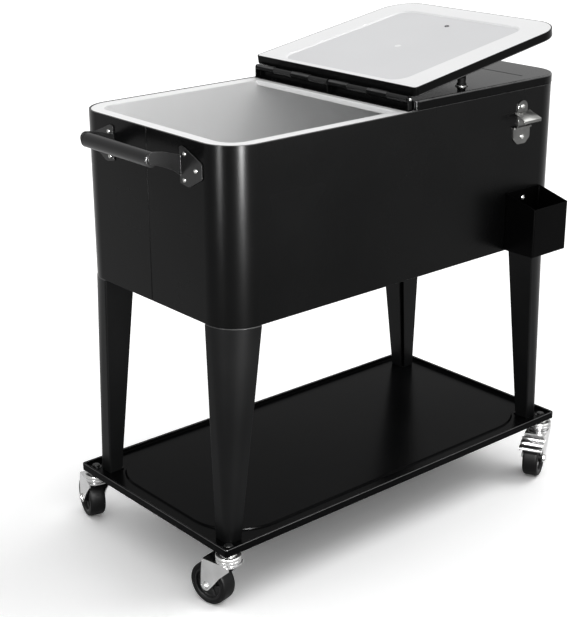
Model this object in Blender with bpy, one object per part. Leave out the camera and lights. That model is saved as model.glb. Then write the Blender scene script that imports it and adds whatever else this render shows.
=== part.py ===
"""Rolling patio cooler: a sheet-metal tub with two hinged lids, on tapered legs, a shelf tray and casters.

Metres, +Z up, floor at zero. The tub runs along X. At rest the right lid is shut, and the left lid is folded
back over it, as it stands when the left well is in use.
"""

import math

import bmesh
import bpy
from mathutils import Matrix, Vector

# Fits shared by all pieces
GAP = 0.0003
QUARTER = math.pi / 2
CORNER_STEPS = 6
FINE_SIDES = 20
ROUND_SIDES = 16
SMALL_SIDES = 12
SHARP_ANGLE = math.radians(35)

# Overall sizes of the tub, with its height off the floor
TUB_LENGTH = 0.780
TUB_WIDTH = 0.408
TUB_HIGH = 0.291
TUB_BOTTOM = 0.487
TUB_CORNER = 0.060
TUB_TOP = TUB_BOTTOM + TUB_HIGH
HALF_LENGTH = TUB_LENGTH / 2
HALF_WIDTH = TUB_WIDTH / 2

# Casters, measured from the swivel axis; the trail runs along the caster's own X
TRAIL = 0.035
WHEEL_RADIUS = 0.0375
WHEEL_HALF = 0.015
WHEEL_EDGE = 0.003
HUB_HALF = 0.0172
HUB_RADIUS = 0.010
WEB_HALF = 0.0085
WEB_OUTER = 0.0255
AXLE_RADIUS = 0.004
AXLE_HEAD = 0.0065
AXLE_HEAD_DEEP = 0.004
WHEEL_BORE = AXLE_RADIUS + GAP
FORK_SHEET = 0.0024
FORK_SIDE_GAP = 0.0004
FORK_INNER = HUB_HALF + FORK_SIDE_GAP
FORK_OUTER = FORK_INNER + FORK_SHEET
FORK_BACK = 0.021
FORK_NOSE = 0.006
FORK_FRONT = TRAIL + FORK_NOSE
FORK_BACK_CORNER = 0.012
FORK_FRONT_CORNER = 0.002
FORK_PLATE = 0.0025
FORK_OVER_WHEEL = 0.0095
FORK_UNDER = 2 * WHEEL_RADIUS + FORK_OVER_WHEEL
FORK_TOP = FORK_UNDER + FORK_PLATE
FORK_SIDE_BACK = 0.015
FORK_SIDE_DEEP = 0.0055
FORK_SIDE_BACK_LOW = FORK_UNDER - FORK_SIDE_DEEP
FORK_EYE = 0.0095
FORK_EYE_TURNS = (math.radians(5), math.radians(-145))
RACE_RADIUS = 0.022
RACE_HIGH = 0.0072
RACE_TOP = FORK_TOP + RACE_HIGH
RACE_EDGE = 0.002
KING_RADIUS = 0.005
KING_BORE = KING_RADIUS + GAP
STEM_NUT = 0.007
STEM_NUT_HIGH = 0.005
SPACER_RADIUS = 0.015
UPPER_RACE_HIGH = 0.0068
SPACER_LOW = RACE_TOP + UPPER_RACE_HIGH
RIVET_RADIUS = 0.008
RIVET_DEEP = 0.0027
TRAIL_AHEAD = {
    "front_left": (-0.20, 0.98),
    "back_left": (0.26, 0.97),
    "front_right": (-0.90, -0.44),
    "back_right": (0.10, 0.99),
}
BRAKED = ("front_right", "back_right")

# Brake pedal: a stepped plate over the wheel, on a tongue between the fork plates, measured from its pivot
PEDAL_PIVOT_X = 0.030
PEDAL_PIVOT_DROP = 0.0046
PEDAL_PIVOT_Z = FORK_UNDER - PEDAL_PIVOT_DROP
PEDAL_SHEET = 0.0018
PEDAL_HALF = 0.0225
PEDAL_TONGUE_HALF = 0.0170
PEDAL_TONGUE_BACK = 0.004
PEDAL_TONGUE_SHARE = 0.9
PEDAL_PATH = (
    (0.0140, 0),
    (0.0155, 0),
    (0.0185, -0.0042),
    (0.0280, -0.0050),
    (0.0305, -0.0097),
    (0.0395, -0.0107),
    (0.0425, -0.0144),
)
PEDAL_SIDE_DROP = 0.007

# Shelf tray, standing on the casters' spacers
TRAY_SHEET = 0.0012
SPACER_HIGH = 0.0095
TRAY_FLOOR = SPACER_LOW + SPACER_HIGH + TRAY_SHEET + GAP
TRAY_OVER_LENGTH = 0.023
TRAY_OVER_WIDTH = 0.008
TRAY_LENGTH = TUB_LENGTH + 2 * TRAY_OVER_LENGTH
TRAY_WIDTH = TUB_WIDTH + 2 * TRAY_OVER_WIDTH
RIM_RISE = 0.008
APRON_DROP = 0.0055
TRAY_RIM = TRAY_FLOOR + RIM_RISE
TRAY_APRON = TRAY_FLOOR - APRON_DROP
TRAY_CORNER = 0.005
RIM_WIDE = 0.004
RIM_ROUND = 0.0012
RIM_FOOT = 0.0055
FIELD_INSET = 0.029
TRAY_STEP = 0.003
TRAY_STEP_RUN = 0.0025
TRAY_FIELD_CORNER = 0.098
TRAY_HOLE = KING_RADIUS + GAP
SWIVEL_FROM_END = 0.019
SWIVEL_FROM_SIDE = 0.018
SWIVEL_X = TRAY_LENGTH / 2 - SWIVEL_FROM_END
SWIVEL_Y = TRAY_WIDTH / 2 - SWIVEL_FROM_SIDE

# Legs: folded sheet, wide under the tub and narrow at the tray, open along the inner corner
LEG_TOP_TIGHTER = 0.002
LEG_TOP_FLAT = 0.008
LEG_TOP_CORNER = TUB_CORNER - LEG_TOP_TIGHTER
LEG_TOP_SIZE = LEG_TOP_CORNER + LEG_TOP_FLAT
LEG_FOOT_LONG = 0.030
LEG_FOOT_WIDE = 0.034
LEG_FOOT_CORNER = 0.012
LEG_FOOT_LEAN = 0.016
LEG_FOOT_X = HALF_LENGTH
LEG_FOOT_Y = HALF_WIDTH - LEG_FOOT_LEAN
LEG_SHEET = 0.0015
LEG_BEND = 0.003
LEG_SLOT_TOP = 0.008
LEG_SLOT_LOW = 0.005

# Tub shell: two folded halves that meet half way along each end wall
SHELL_SHEET = 0.0010
SHELL_FLANGE = 0.009
SHELL_EDGE = 0.001
RIM_WIDTH = 0.0032

# Bottom panel, liner and insulation
PANEL_SHEET = 0.0010
LINER_WALL = 0.003
LIP_DROP = 0.0005
LIP_SHEET = 0.0025
LIP_TOP = TUB_TOP - LIP_DROP
LIP_LOW = LIP_TOP - LIP_SHEET
FLANGE_TOP = LIP_LOW - GAP
LIP_INSET = RIM_WIDTH + GAP
LIP_EDGE = 0.001
WELL_INSET_TOP = 0.026
WELL_INSET_LOW = 0.034
WELL_CORNER = 0.034
WELL_FLOOR_RISE = 0.030
WELL_FLOOR = TUB_BOTTOM + WELL_FLOOR_RISE
WELL_ROUND = 0.012
WELL_EDGE = 0.0025
BAR_HALF = 0.016
BAR_DEPTH = 0.010
BAR_DROP = 0.0002

# Drain under the right well
DRAIN_FROM_END = 0.120
DRAIN_X = HALF_LENGTH - DRAIN_FROM_END
DRAIN_HOLE = 0.010
DRAIN_BORE = 0.006
DRAIN_FLANGE = 0.016
DRAIN_FLANGE_DEEP = 0.003
DRAIN_STUB = 0.015
DRAIN_STUB_END = TUB_BOTTOM - DRAIN_STUB
CAP_WALL = 0.0037
CAP_BORE = DRAIN_HOLE + GAP
CAP_OUTER = CAP_BORE + CAP_WALL
CAP_TOP_GAP = 0.0025
CAP_TOP = TUB_BOTTOM - CAP_TOP_GAP
CAP_FLOOR = 0.003
CAP_END_ROOM = 0.001
CAP_END = DRAIN_STUB_END - CAP_END_ROOM - CAP_FLOOR

# Hinge: one pin through both lids' knuckles and three ears of the bridge strip
PIN_RISE = 0.0196
PIN_HEIGHT = LIP_TOP + PIN_RISE
PIN_RADIUS = 0.0025
PIN_SHORT = 0.006
PIN_HALF = HALF_WIDTH - PIN_SHORT
STATION_SHORT = 0.002
STATION_HALF = PIN_HALF - STATION_SHORT
KNUCKLE_RADIUS = 0.0055
KNUCKLE_FIT = 0.0004
KNUCKLE_BORE = PIN_RADIUS + KNUCKLE_FIT
EAR_THICK = 0.003
EAR_HALF = 0.0045
EAR_ROUND = 0.00475
EAR_BORE = PIN_RADIUS + GAP
STATION_GAP = 0.0005
KNUCKLES = 8
BRIDGE_HALF = 0.0055
BRIDGE_SHEET = 0.0015
OPEN_ANGLE = math.radians(170.5)

# Lids, measured out from the pin and down from it
LID_FACE = 0.0065
LID_DROP = 0.0025
LID_TOP = -LID_DROP
LID_CORNER = 0.058
LID_HINGE_CORNER = 0.008
LID_SHEET = 0.0016
LID_LEAST_CORNER = 0.0025
SKIRT_THICK = 0.003
LID_ROUND = 0.0035
LID_ROUND_STEPS = 3
HINGE_ROUND_SHARE = 0.4
STRAP_START = 0.001
STRAP_REACH = 0.0100
STRAP_DROP = 0.0004
STRAP_THICK = 0.0023
STRAP_SHORT = 0.0002
GROOVE_FROM_EDGE = 0.088
GROOVE_REACH = HALF_LENGTH - GROOVE_FROM_EDGE
GROOVE_FROM_SIDE = 0.026
GROOVE_HALF_LENGTH = HALF_WIDTH - GROOVE_FROM_SIDE
GROOVE_HALF_WIDTH = 0.0015
GROOVE_DEPTH = 0.0008
LID_LINER_SHEET = 0.0025
FIELD_NEAR = 0.020
FIELD_FROM_EDGE = 0.046
FIELD_FROM_SIDE = 0.053
FIELD_FAR = HALF_LENGTH - FIELD_FROM_EDGE
FIELD_HALF = HALF_WIDTH - FIELD_FROM_SIDE
FIELD_CORNER = 0.028
FIELD_RISE = 0.003
FIELD_SLOPE = 0.002
LID_FOAM_NEAR = 0.0125
BUMPER_FROM_EDGE = 0.233
BUMPER_FROM_SIDE = 0.039
BUMPER_REACH = HALF_LENGTH - BUMPER_FROM_EDGE
BUMPER_SIDE = HALF_WIDTH - BUMPER_FROM_SIDE
BUMPER_RADIUS = 0.0075
BUMPER_FOOT = 0.0085
BUMPER_FOOT_HIGH = 0.004

# Handles on the end walls; the flange is measured from the grip's end and height
GRIP_RADIUS = 0.012
GRIP_OUT = 0.053
GRIP_DROP = 0.028
GRIP_HEIGHT = TUB_TOP - GRIP_DROP
GRIP_FROM_SIDE = 0.1143
GRIP_HALF = HALF_WIDTH - GRIP_FROM_SIDE
BOSS_RADIUS = 0.0041
BOSS_FIT = 0.0004
BOSS_LONG = 0.010
GRIP_BORE = BOSS_RADIUS + BOSS_FIT
GRIP_BORE_DEEP = 0.012
GRIP_END_ROUND = 0.0015
ARM_SHEET = 0.003
ARM_END_RADIUS = 0.010
ARM_END_RISE = 0.003
ARM_ROOT_DROP = 0.033
FLANGE_SHEET = 0.002
FLANGE_OUTLINE = (
    (0.0008, -0.0435),
    (0.0008, 0.0130),
    (0.0053, 0.0150),
    (0.0558, -0.0070),
    (0.0558, -0.0280),
    (0.0223, -0.0470),
    (0.0033, -0.0440),
)

# Bottle opener on the front wall, measured from its centre line and down from its top
OPENER_FROM_END = 0.1155
OPENER_X = HALF_LENGTH - OPENER_FROM_END
OPENER_SHEET = 0.002
OPENER_DROP = 0.019
OPENER_TOP = TUB_TOP - OPENER_DROP
OPENER_TAB_HALF = 0.0125
OPENER_TAB_LONG = 0.0195
OPENER_NECK_HALF = 0.010
OPENER_NECK_LONG = 0.0275
OPENER_LOW_HALF = 0.0215
OPENER_LOW_SIDE = 0.020
OPENER_LOW_TAPER = 0.0107
OPENER_END_HALF = 0.0100
OPENER_TAB_ROOT = OPENER_TOP - OPENER_TAB_LONG
OPENER_LOW_TOP = OPENER_TAB_ROOT - OPENER_NECK_LONG
OPENER_LOW_CUT = OPENER_LOW_TOP - OPENER_LOW_SIDE
OPENER_LOW_END = OPENER_LOW_CUT - OPENER_LOW_TAPER
HOOD_ROOT_HALF = 0.0200
HOOD_TIP_HALF = 0.0225
HOOD_REACH = 0.028
HOOD_ABOVE_NECK = 0.0005
HOOD_FALL = 0.0115
HOOD_ROOT_TOP = OPENER_TAB_ROOT + HOOD_ABOVE_NECK
HOOD_TIP_TOP = HOOD_ROOT_TOP - HOOD_FALL
HOOD_LIP = 0.0035
OPENER_LIP_OUT = 0.0075

# Cap catcher under the opener
CATCHER_NEAR = 0.0315
CATCHER_FAR = 0.0595
CATCHER_LEFT = OPENER_X - CATCHER_NEAR
CATCHER_RIGHT = OPENER_X + CATCHER_FAR
CATCHER_DEPTH = 0.068
CATCHER_FROM_BOTTOM = 0.002
CATCHER_BACK_HIGH = 0.107
CATCHER_FRONT_FALL = 0.018
CATCHER_LOW = TUB_BOTTOM + CATCHER_FROM_BOTTOM
CATCHER_BACK_TOP = CATCHER_LOW + CATCHER_BACK_HIGH
CATCHER_SHEET = 0.0012
CATCHER_CORNER = 0.003

# Looks: base colour, roughness, metallic
BLACK_COAT = ((0.020, 0.021, 0.022), 0.42, 0.0)
WHITE_PLASTIC = ((0.80, 0.80, 0.79), 0.35, 0.0)
FOAM = ((0.78, 0.70, 0.48), 0.90, 0.0)
STEEL = ((0.62, 0.62, 0.60), 0.32, 1.0)
CHROME = ((0.75, 0.75, 0.74), 0.18, 1.0)
RUBBER = ((0.018, 0.018, 0.019), 0.70, 0.0)
DARK_PLASTIC = ((0.030, 0.030, 0.032), 0.45, 0.0)

SIDES = (("left", -1), ("right", 1))
DEPTHS = (("front", -1), ("back", 1))


def clear_scene():
    for item in list(bpy.data.objects):
        bpy.data.objects.remove(item, do_unlink=True)


def paint(body, look):
    """Gives the body a Principled BSDF material of its own."""
    colour, roughness, metallic = look
    material = bpy.data.materials.new(body.name)
    material.use_nodes = True
    shader = material.node_tree.nodes["Principled BSDF"]
    shader.inputs["Base Color"].default_value = (*colour, 1.0)
    shader.inputs["Roughness"].default_value = roughness
    shader.inputs["Metallic"].default_value = metallic
    body.data.materials.append(material)


def smooth(body):
    body.data.shade_smooth()
    body.data.set_sharp_from_angle(angle=SHARP_ANGLE)


def stack(name, loops, parent=None, ring=False):
    """A closed body through loops of equal length, with end caps or, as a ring, joined back to the first."""
    form = bmesh.new()
    rows = [[form.verts.new(point) for point in loop] for loop in loops]
    pairs = list(zip(rows, rows[1:]))
    if ring:
        pairs.append((rows[-1], rows[0]))
    else:
        form.faces.new(rows[0])
        form.faces.new(rows[-1])
    for low, high in pairs:
        for index in range(len(low)):
            after = (index + 1) % len(low)
            form.faces.new((low[index], low[after], high[after], high[index]))
    bmesh.ops.recalc_face_normals(form, faces=form.faces)
    mesh = bpy.data.meshes.new(name)
    form.to_mesh(mesh)
    form.free()
    body = bpy.data.objects.new(name, mesh)
    bpy.context.scene.collection.objects.link(body)
    body.parent = parent
    return body


def combine(body, tools, operation):
    """Joins the tools to the body or cuts them from it, and keeps them out of the picture."""
    for tool in tools:
        tool.hide_render = True
        tool.display_type = "WIRE"
        modifier = body.modifiers.new(tool.name, "BOOLEAN")
        modifier.operation = operation
        modifier.solver = "EXACT"
        modifier.object = tool


def marker(name, place, turn=(0, 0, 0)):
    """An empty on a joint axis, for the moving pieces to hang from."""
    empty = bpy.data.objects.new(name, None)
    empty.location = place
    empty.rotation_euler = turn
    bpy.context.scene.collection.objects.link(empty)
    return empty


def rounded(x_low, x_high, y_low, y_high, radii):
    """Points round a rectangle from its +X +Y corner, anticlockwise, with a radius for each corner."""
    points = []
    for turn, radius in enumerate(radii):
        x_centre = x_high - radius if turn in (0, 3) else x_low + radius
        y_centre = y_high - radius if turn in (0, 1) else y_low + radius
        for step in range(CORNER_STEPS + 1):
            angle = QUARTER * (turn + step / CORNER_STEPS)
            points.append((x_centre + radius * math.cos(angle), y_centre + radius * math.sin(angle)))
    return points


def centred(half_x, half_y, radius):
    return rounded(-half_x, half_x, -half_y, half_y, (radius,) * 4)


def level(points, height):
    return [(x, y, height) for x, y in points]


def circle(radius, height, steps, x=0, y=0):
    turns = [2 * math.pi * step / steps for step in range(steps)]
    return [(x + radius * math.cos(turn), y + radius * math.sin(turn), height) for turn in turns]


def upright(loop):
    """Turns a loop that stands on the Z axis so that it lies along Y."""
    return [(x, z, y) for x, y, z in loop]


def turned(name, profile, steps, parent=None, ring=False, along_y=False, x=0, y=0):
    """A turned body from (radius, height) pairs."""
    loops = [circle(radius, height, steps, x, y) for radius, height in profile]
    if along_y:
        loops = [upright(loop) for loop in loops]
    return stack(name, loops, parent, ring)


def rod(name, radius, low, high, steps, parent=None, x=0, z=0):
    """A cylinder along Y, centred on x and z."""
    loops = [[(x + a, end, z + b) for a, b, _ in circle(radius, 0, steps)] for end in (low, high)]
    return stack(name, loops, parent)


def block(name, x_low, x_high, y_low, y_high, z_low, z_high, parent=None):
    base = ((x_low, y_low), (x_high, y_low), (x_high, y_high), (x_low, y_high))
    return stack(name, [level(base, z_low), level(base, z_high)], parent)


def slab_along_y(name, outline, y_low, y_high, parent=None):
    """An outline in X and Z, given thickness along Y."""
    return stack(name, [[(x, end, z) for x, z in outline] for end in (y_low, y_high)], parent)


def slab_along_x(name, outline, x_low, x_high, parent=None):
    """An outline in Y and Z, given thickness along X."""
    return stack(name, [[(end, y, z) for y, z in outline] for end in (x_low, x_high)], parent)


# Tub


def half_path(inset, depth):
    """Half of the shell's outline: from one end wall's middle, round a long wall, to the other's middle."""
    outline = centred(HALF_LENGTH - inset, HALF_WIDTH - inset, TUB_CORNER - inset)
    corners = outline[len(outline) // 2 :]
    seam = -GAP
    path = [(corners[0][0], seam)] + corners + [(corners[-1][0], seam)]
    return [(x, -depth * y) for x, y in path]


def tub_shell(name, depth):
    """A folded sheet with a thick rim, and inside it the flange that carries the liner's lip."""
    flange_low = FLANGE_TOP - SHELL_SHEET
    section = (
        (0, TUB_BOTTOM + SHELL_EDGE),
        (0, TUB_TOP - SHELL_EDGE),
        (SHELL_EDGE, TUB_TOP),
        (RIM_WIDTH, TUB_TOP),
        (RIM_WIDTH, FLANGE_TOP),
        (SHELL_FLANGE, FLANGE_TOP),
        (SHELL_FLANGE, flange_low),
        (SHELL_SHEET, flange_low),
        (SHELL_SHEET, TUB_BOTTOM + SHELL_SHEET),
        (SHELL_FLANGE, TUB_BOTTOM + SHELL_SHEET),
        (SHELL_FLANGE, TUB_BOTTOM),
        (SHELL_EDGE, TUB_BOTTOM),
    )
    paths = [half_path(inset, depth) for inset, _ in section]
    heights = [height for _, height in section]
    stations = [[(*place, height) for place, height in zip(places, heights)] for places in zip(*paths)]
    body = stack(name, stations)
    smooth(body)
    paint(body, BLACK_COAT)


def inset_outline(inset, corner):
    return centred(HALF_LENGTH - inset, HALF_WIDTH - inset, corner)


def drain_cutter(name, low, high, radius=DRAIN_HOLE):
    return turned(name, ((radius, low), (radius, high)), SMALL_SIDES, x=DRAIN_X)


def bottom_panel():
    inset = SHELL_SHEET + GAP
    outline = inset_outline(inset, TUB_CORNER - inset)
    low = TUB_BOTTOM + SHELL_SHEET + GAP
    body = stack("bottom_panel", [level(outline, low), level(outline, low + PANEL_SHEET)])
    combine(body, [drain_cutter("panel_drain_cut", TUB_BOTTOM, low + 2 * PANEL_SHEET)], "DIFFERENCE")
    paint(body, BLACK_COAT)


def well_loops(grow, drop):
    """The wells' inside from the floor up, or the same form moved out by grow and down by drop."""
    low = WELL_FLOOR - drop
    inset_low = WELL_INSET_LOW - grow
    corner = WELL_CORNER + grow
    lean = math.sqrt(0.5)
    steps = (
        (WELL_ROUND, 0),
        (WELL_ROUND * (1 - lean), WELL_ROUND * (1 - lean)),
        (0, WELL_ROUND),
    )
    return [level(inset_outline(inset_low + side, corner), low + rise) for side, rise in steps]


def inner_liner():
    wall_out = WELL_INSET_TOP - LINER_WALL
    loops = well_loops(0, 0)
    loops += [
        level(inset_outline(WELL_INSET_TOP, WELL_CORNER), LIP_TOP - WELL_EDGE),
        level(inset_outline(WELL_INSET_TOP - WELL_EDGE, WELL_CORNER + WELL_EDGE), LIP_TOP),
        level(inset_outline(LIP_INSET + LIP_EDGE, TUB_CORNER - LIP_INSET - LIP_EDGE), LIP_TOP),
        level(inset_outline(LIP_INSET, TUB_CORNER - LIP_INSET), LIP_TOP - LIP_EDGE),
        level(inset_outline(LIP_INSET, TUB_CORNER - LIP_INSET), LIP_LOW),
        level(inset_outline(wall_out, WELL_CORNER + LINER_WALL), LIP_LOW),
    ]
    loops += well_loops(LINER_WALL, LINER_WALL)[::-1]
    body = stack("inner_liner", loops)
    reach = HALF_WIDTH - WELL_INSET_TOP + LINER_WALL / 2
    top = LIP_TOP - BAR_DROP
    bar = block("liner_bar", -BAR_HALF, BAR_HALF, -reach, reach, top - BAR_DEPTH, top)
    combine(body, [bar], "UNION")
    combine(body, [drain_cutter("liner_drain_cut", TUB_BOTTOM, WELL_FLOOR + WELL_ROUND)], "DIFFERENCE")
    smooth(body)
    paint(body, WHITE_PLASTIC)


def foam_insulation():
    spare = LINER_WALL + GAP
    outer = SHELL_SHEET + GAP
    low = TUB_BOTTOM + SHELL_SHEET + GAP + PANEL_SHEET + GAP
    top = FLANGE_TOP - SHELL_SHEET - GAP
    loops = well_loops(spare, spare)
    loops += [
        level(inset_outline(WELL_INSET_TOP - spare, WELL_CORNER + spare), top),
        level(inset_outline(outer, TUB_CORNER - outer), top),
        level(inset_outline(outer, TUB_CORNER - outer), low),
    ]
    body = stack("foam_insulation", loops)
    combine(body, [drain_cutter("foam_drain_cut", TUB_BOTTOM, WELL_FLOOR + WELL_ROUND)], "DIFFERENCE")
    paint(body, FOAM)


def drain():
    outer = DRAIN_HOLE - GAP
    flange_top = TUB_BOTTOM + SHELL_SHEET
    flange_low = flange_top - DRAIN_FLANGE_DEEP
    profile = (
        (DRAIN_BORE, DRAIN_STUB_END),
        (outer, DRAIN_STUB_END),
        (outer, flange_low),
        (DRAIN_FLANGE, flange_low),
        (DRAIN_FLANGE, flange_top),
        (outer, flange_top),
        (outer, WELL_FLOOR),
        (DRAIN_BORE, WELL_FLOOR),
    )
    fitting = turned("drain_fitting", profile, SMALL_SIDES, ring=True, x=DRAIN_X)
    smooth(fitting)
    paint(fitting, DARK_PLASTIC)
    profile = (
        (CAP_BORE, CAP_END + CAP_FLOOR),
        (CAP_BORE, CAP_TOP),
        (CAP_OUTER, CAP_TOP),
        (CAP_OUTER, CAP_END),
    )
    hang = marker("drain_cap_axis", (DRAIN_X, 0, 0))
    cap = turned("drain_cap", profile, SMALL_SIDES, hang)
    smooth(cap)
    paint(cap, DARK_PLASTIC)


# Hinge and lids


def knuckle_spans(which):
    """The (low, high) pairs along Y of one lid's knuckles, which take turns between three ears."""
    room = 2 * STATION_HALF - 3 * EAR_THICK - (KNUCKLES + 2) * STATION_GAP
    long = room / KNUCKLES
    spans = []
    place = -STATION_HALF + EAR_THICK + STATION_GAP
    for index in range(KNUCKLES):
        if index == KNUCKLES // 2:
            place += EAR_THICK + STATION_GAP
        if index % 2 == which:
            spans.append((place, place + long))
        place += long + STATION_GAP
    return spans


def hinge_bridge():
    low = LIP_TOP + GAP
    top = low + BRIDGE_SHEET
    body = block("hinge_bridge", -BRIDGE_HALF, BRIDGE_HALF, -PIN_HALF, PIN_HALF, low, top)
    arc = [math.pi * step / CORNER_STEPS for step in range(CORNER_STEPS + 1)]
    outline = [(EAR_HALF, low + BRIDGE_SHEET / 2)]
    outline += [(EAR_ROUND * math.cos(turn), PIN_HEIGHT + EAR_ROUND * math.sin(turn)) for turn in arc]
    outline += [(-EAR_HALF, low + BRIDGE_SHEET / 2)]
    starts = (-STATION_HALF, -EAR_THICK / 2, STATION_HALF - EAR_THICK)
    ears = [slab_along_y(f"bridge_ear_{i}", outline, y, y + EAR_THICK) for i, y in enumerate(starts)]
    combine(body, ears, "UNION")
    bore = rod("bridge_bore", EAR_BORE, -TUB_WIDTH, TUB_WIDTH, ROUND_SIDES, z=PIN_HEIGHT)
    combine(body, [bore], "DIFFERENCE")
    paint(body, BLACK_COAT)
    pin = rod("hinge_pin", PIN_RADIUS, -PIN_HALF, PIN_HALF, ROUND_SIDES, z=PIN_HEIGHT)
    smooth(pin)
    paint(pin, STEEL)


def lid_outline(inset, hinge_inset, side):
    """The lid's outline shrunk by inset, and by hinge_inset on the edge next to the pin."""
    far = HALF_LENGTH - inset
    near = LID_FACE + hinge_inset
    half = HALF_WIDTH - inset
    outer = LID_CORNER - inset
    inner = max(LID_HINGE_CORNER - inset, LID_LEAST_CORNER)
    points = rounded(near, far, -half, half, (outer, inner, inner, outer))
    return [(side * x, y) for x, y in points]


def lid_shell(name, side, hang):
    skirt_low = TUB_TOP + GAP - PIN_HEIGHT
    under = LID_TOP - LID_SHEET
    thick = SKIRT_THICK
    loops = [
        level(lid_outline(thick, thick, side), under),
        level(lid_outline(thick, thick, side), skirt_low),
        level(lid_outline(0, 0, side), skirt_low),
    ]
    for step in range(LID_ROUND_STEPS + 1):
        angle = QUARTER * step / LID_ROUND_STEPS
        inset = LID_ROUND * (1 - math.cos(angle))
        height = LID_TOP - LID_ROUND * (1 - math.sin(angle))
        loops.append(level(lid_outline(inset, inset * HINGE_ROUND_SHARE, side), height))
    body = stack(name, loops, hang)
    near, far = sorted((side * STRAP_START, side * STRAP_REACH))
    strap_top = LID_TOP - STRAP_DROP
    parts = []
    for index, (low, high) in enumerate(knuckle_spans(0 if side < 0 else 1)):
        tube = rod(f"{name}_knuckle_{index}", KNUCKLE_RADIUS, low, high, SMALL_SIDES, hang)
        ends = (low + STRAP_SHORT, high - STRAP_SHORT)
        strap = block(f"{name}_strap_{index}", near, far, *ends, strap_top - STRAP_THICK, strap_top, hang)
        parts += [tube, strap]
    combine(body, parts, "UNION")
    bore = rod(f"{name}_bore", KNUCKLE_BORE, -TUB_WIDTH, TUB_WIDTH, SMALL_SIDES, hang)
    near, far = sorted(side * (GROOVE_REACH + sign * GROOVE_HALF_WIDTH) for sign in (-1, 1))
    groove_low = LID_TOP - GROOVE_DEPTH
    groove = block(f"{name}_groove", near, far, -GROOVE_HALF_LENGTH, GROOVE_HALF_LENGTH, groove_low, 0, hang)
    combine(body, [bore, groove], "DIFFERENCE")
    smooth(body)
    paint(body, BLACK_COAT)


def field_outline(shrink, side):
    points = rounded(
        FIELD_NEAR + shrink,
        FIELD_FAR - shrink,
        shrink - FIELD_HALF,
        FIELD_HALF - shrink,
        (FIELD_CORNER - shrink,) * 4,
    )
    return [(side * x, y) for x, y in points]


def lid_inside(side_name, side, hang):
    """The white lid liner, flush with the skirt's edge, with its recessed field, and the foam over it."""
    low = TUB_TOP + GAP - PIN_HEIGHT
    top = low + LID_LINER_SHEET
    edge = lid_outline(SKIRT_THICK + GAP, SKIRT_THICK + GAP, side)
    loops = [
        level(field_outline(0, side), top + FIELD_RISE),
        level(field_outline(-FIELD_SLOPE, side), top),
        level(edge, top),
        level(edge, low),
        level(field_outline(0, side), low),
        level(field_outline(FIELD_SLOPE, side), low + FIELD_RISE),
    ]
    liner = stack(f"{side_name}_lid_liner", loops, hang)
    smooth(liner)
    paint(liner, WHITE_PLASTIC)
    outline = lid_outline(SKIRT_THICK + GAP, LID_FOAM_NEAR - LID_FACE, side)
    foam_low = top + FIELD_RISE + GAP
    foam_top = LID_TOP - LID_SHEET - GAP
    foam = stack(f"{side_name}_lid_foam", [level(outline, foam_low), level(outline, foam_top)], hang)
    paint(foam, FOAM)


def lid_bumper(name, side, depth, hang):
    """A rubber foot whose end is cut on the plane half way between the two lids when one is folded back."""
    lean = math.tan((math.pi - OPEN_ANGLE) / 2)
    x = side * BUMPER_REACH
    y = depth * BUMPER_SIDE
    low = LID_TOP + GAP
    loops = [
        circle(BUMPER_FOOT, low, SMALL_SIDES, x, y),
        circle(BUMPER_FOOT, low + BUMPER_FOOT_HIGH, SMALL_SIDES, x, y),
        circle(BUMPER_RADIUS, low + BUMPER_FOOT_HIGH, SMALL_SIDES, x, y),
        [(a, b, abs(a) * lean - GAP / 2) for a, b, _ in circle(BUMPER_RADIUS, 0, SMALL_SIDES, x, y)],
    ]
    body = stack(name, loops, hang)
    smooth(body)
    paint(body, RUBBER)


def lids():
    for side_name, side in SIDES:
        turn = (0, OPEN_ANGLE, 0) if side < 0 else (0, 0, 0)
        hang = marker(f"{side_name}_lid_axis", (0, 0, PIN_HEIGHT), turn)
        lid_shell(f"{side_name}_lid_shell", side, hang)
        lid_inside(side_name, side, hang)
        for depth_name, depth in DEPTHS:
            lid_bumper(f"{side_name}_lid_bumper_{depth_name}", side, depth, hang)


# Handles


def handle_bracket(name, side, depth):
    wall = HALF_LENGTH + GAP
    reach = wall + GRIP_OUT - GAP
    arc = [QUARTER * (1 - 2 * step / CORNER_STEPS) for step in range(CORNER_STEPS + 1)]
    end_height = GRIP_HEIGHT + ARM_END_RISE
    outline = [(wall, GRIP_HEIGHT - ARM_ROOT_DROP), (wall, GRIP_HEIGHT)]
    for turn in arc:
        out, rise = ARM_END_RADIUS * math.cos(turn), ARM_END_RADIUS * math.sin(turn)
        outline.append((reach + out, end_height + rise))
    outline = [(side * x, z) for x, z in outline]
    arm_low, arm_high = sorted((depth * (GRIP_HALF + GAP), depth * (GRIP_HALF + GAP + ARM_SHEET)))
    body = slab_along_y(name, outline, arm_low, arm_high)
    near, far = sorted((side * wall, side * (wall + FLANGE_SHEET)))
    plate = [(depth * (GRIP_HALF + out), GRIP_HEIGHT + rise) for out, rise in FLANGE_OUTLINE]
    flange = slab_along_x(f"{name}_flange", plate, near, far)
    inner, outer = sorted((depth * (GRIP_HALF - BOSS_LONG), depth * (GRIP_HALF + GAP + ARM_SHEET / 2)))
    boss = rod(f"{name}_boss", BOSS_RADIUS, inner, outer, SMALL_SIDES, x=side * reach, z=GRIP_HEIGHT)
    combine(body, [flange, boss], "UNION")
    smooth(body)
    paint(body, BLACK_COAT)


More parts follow.
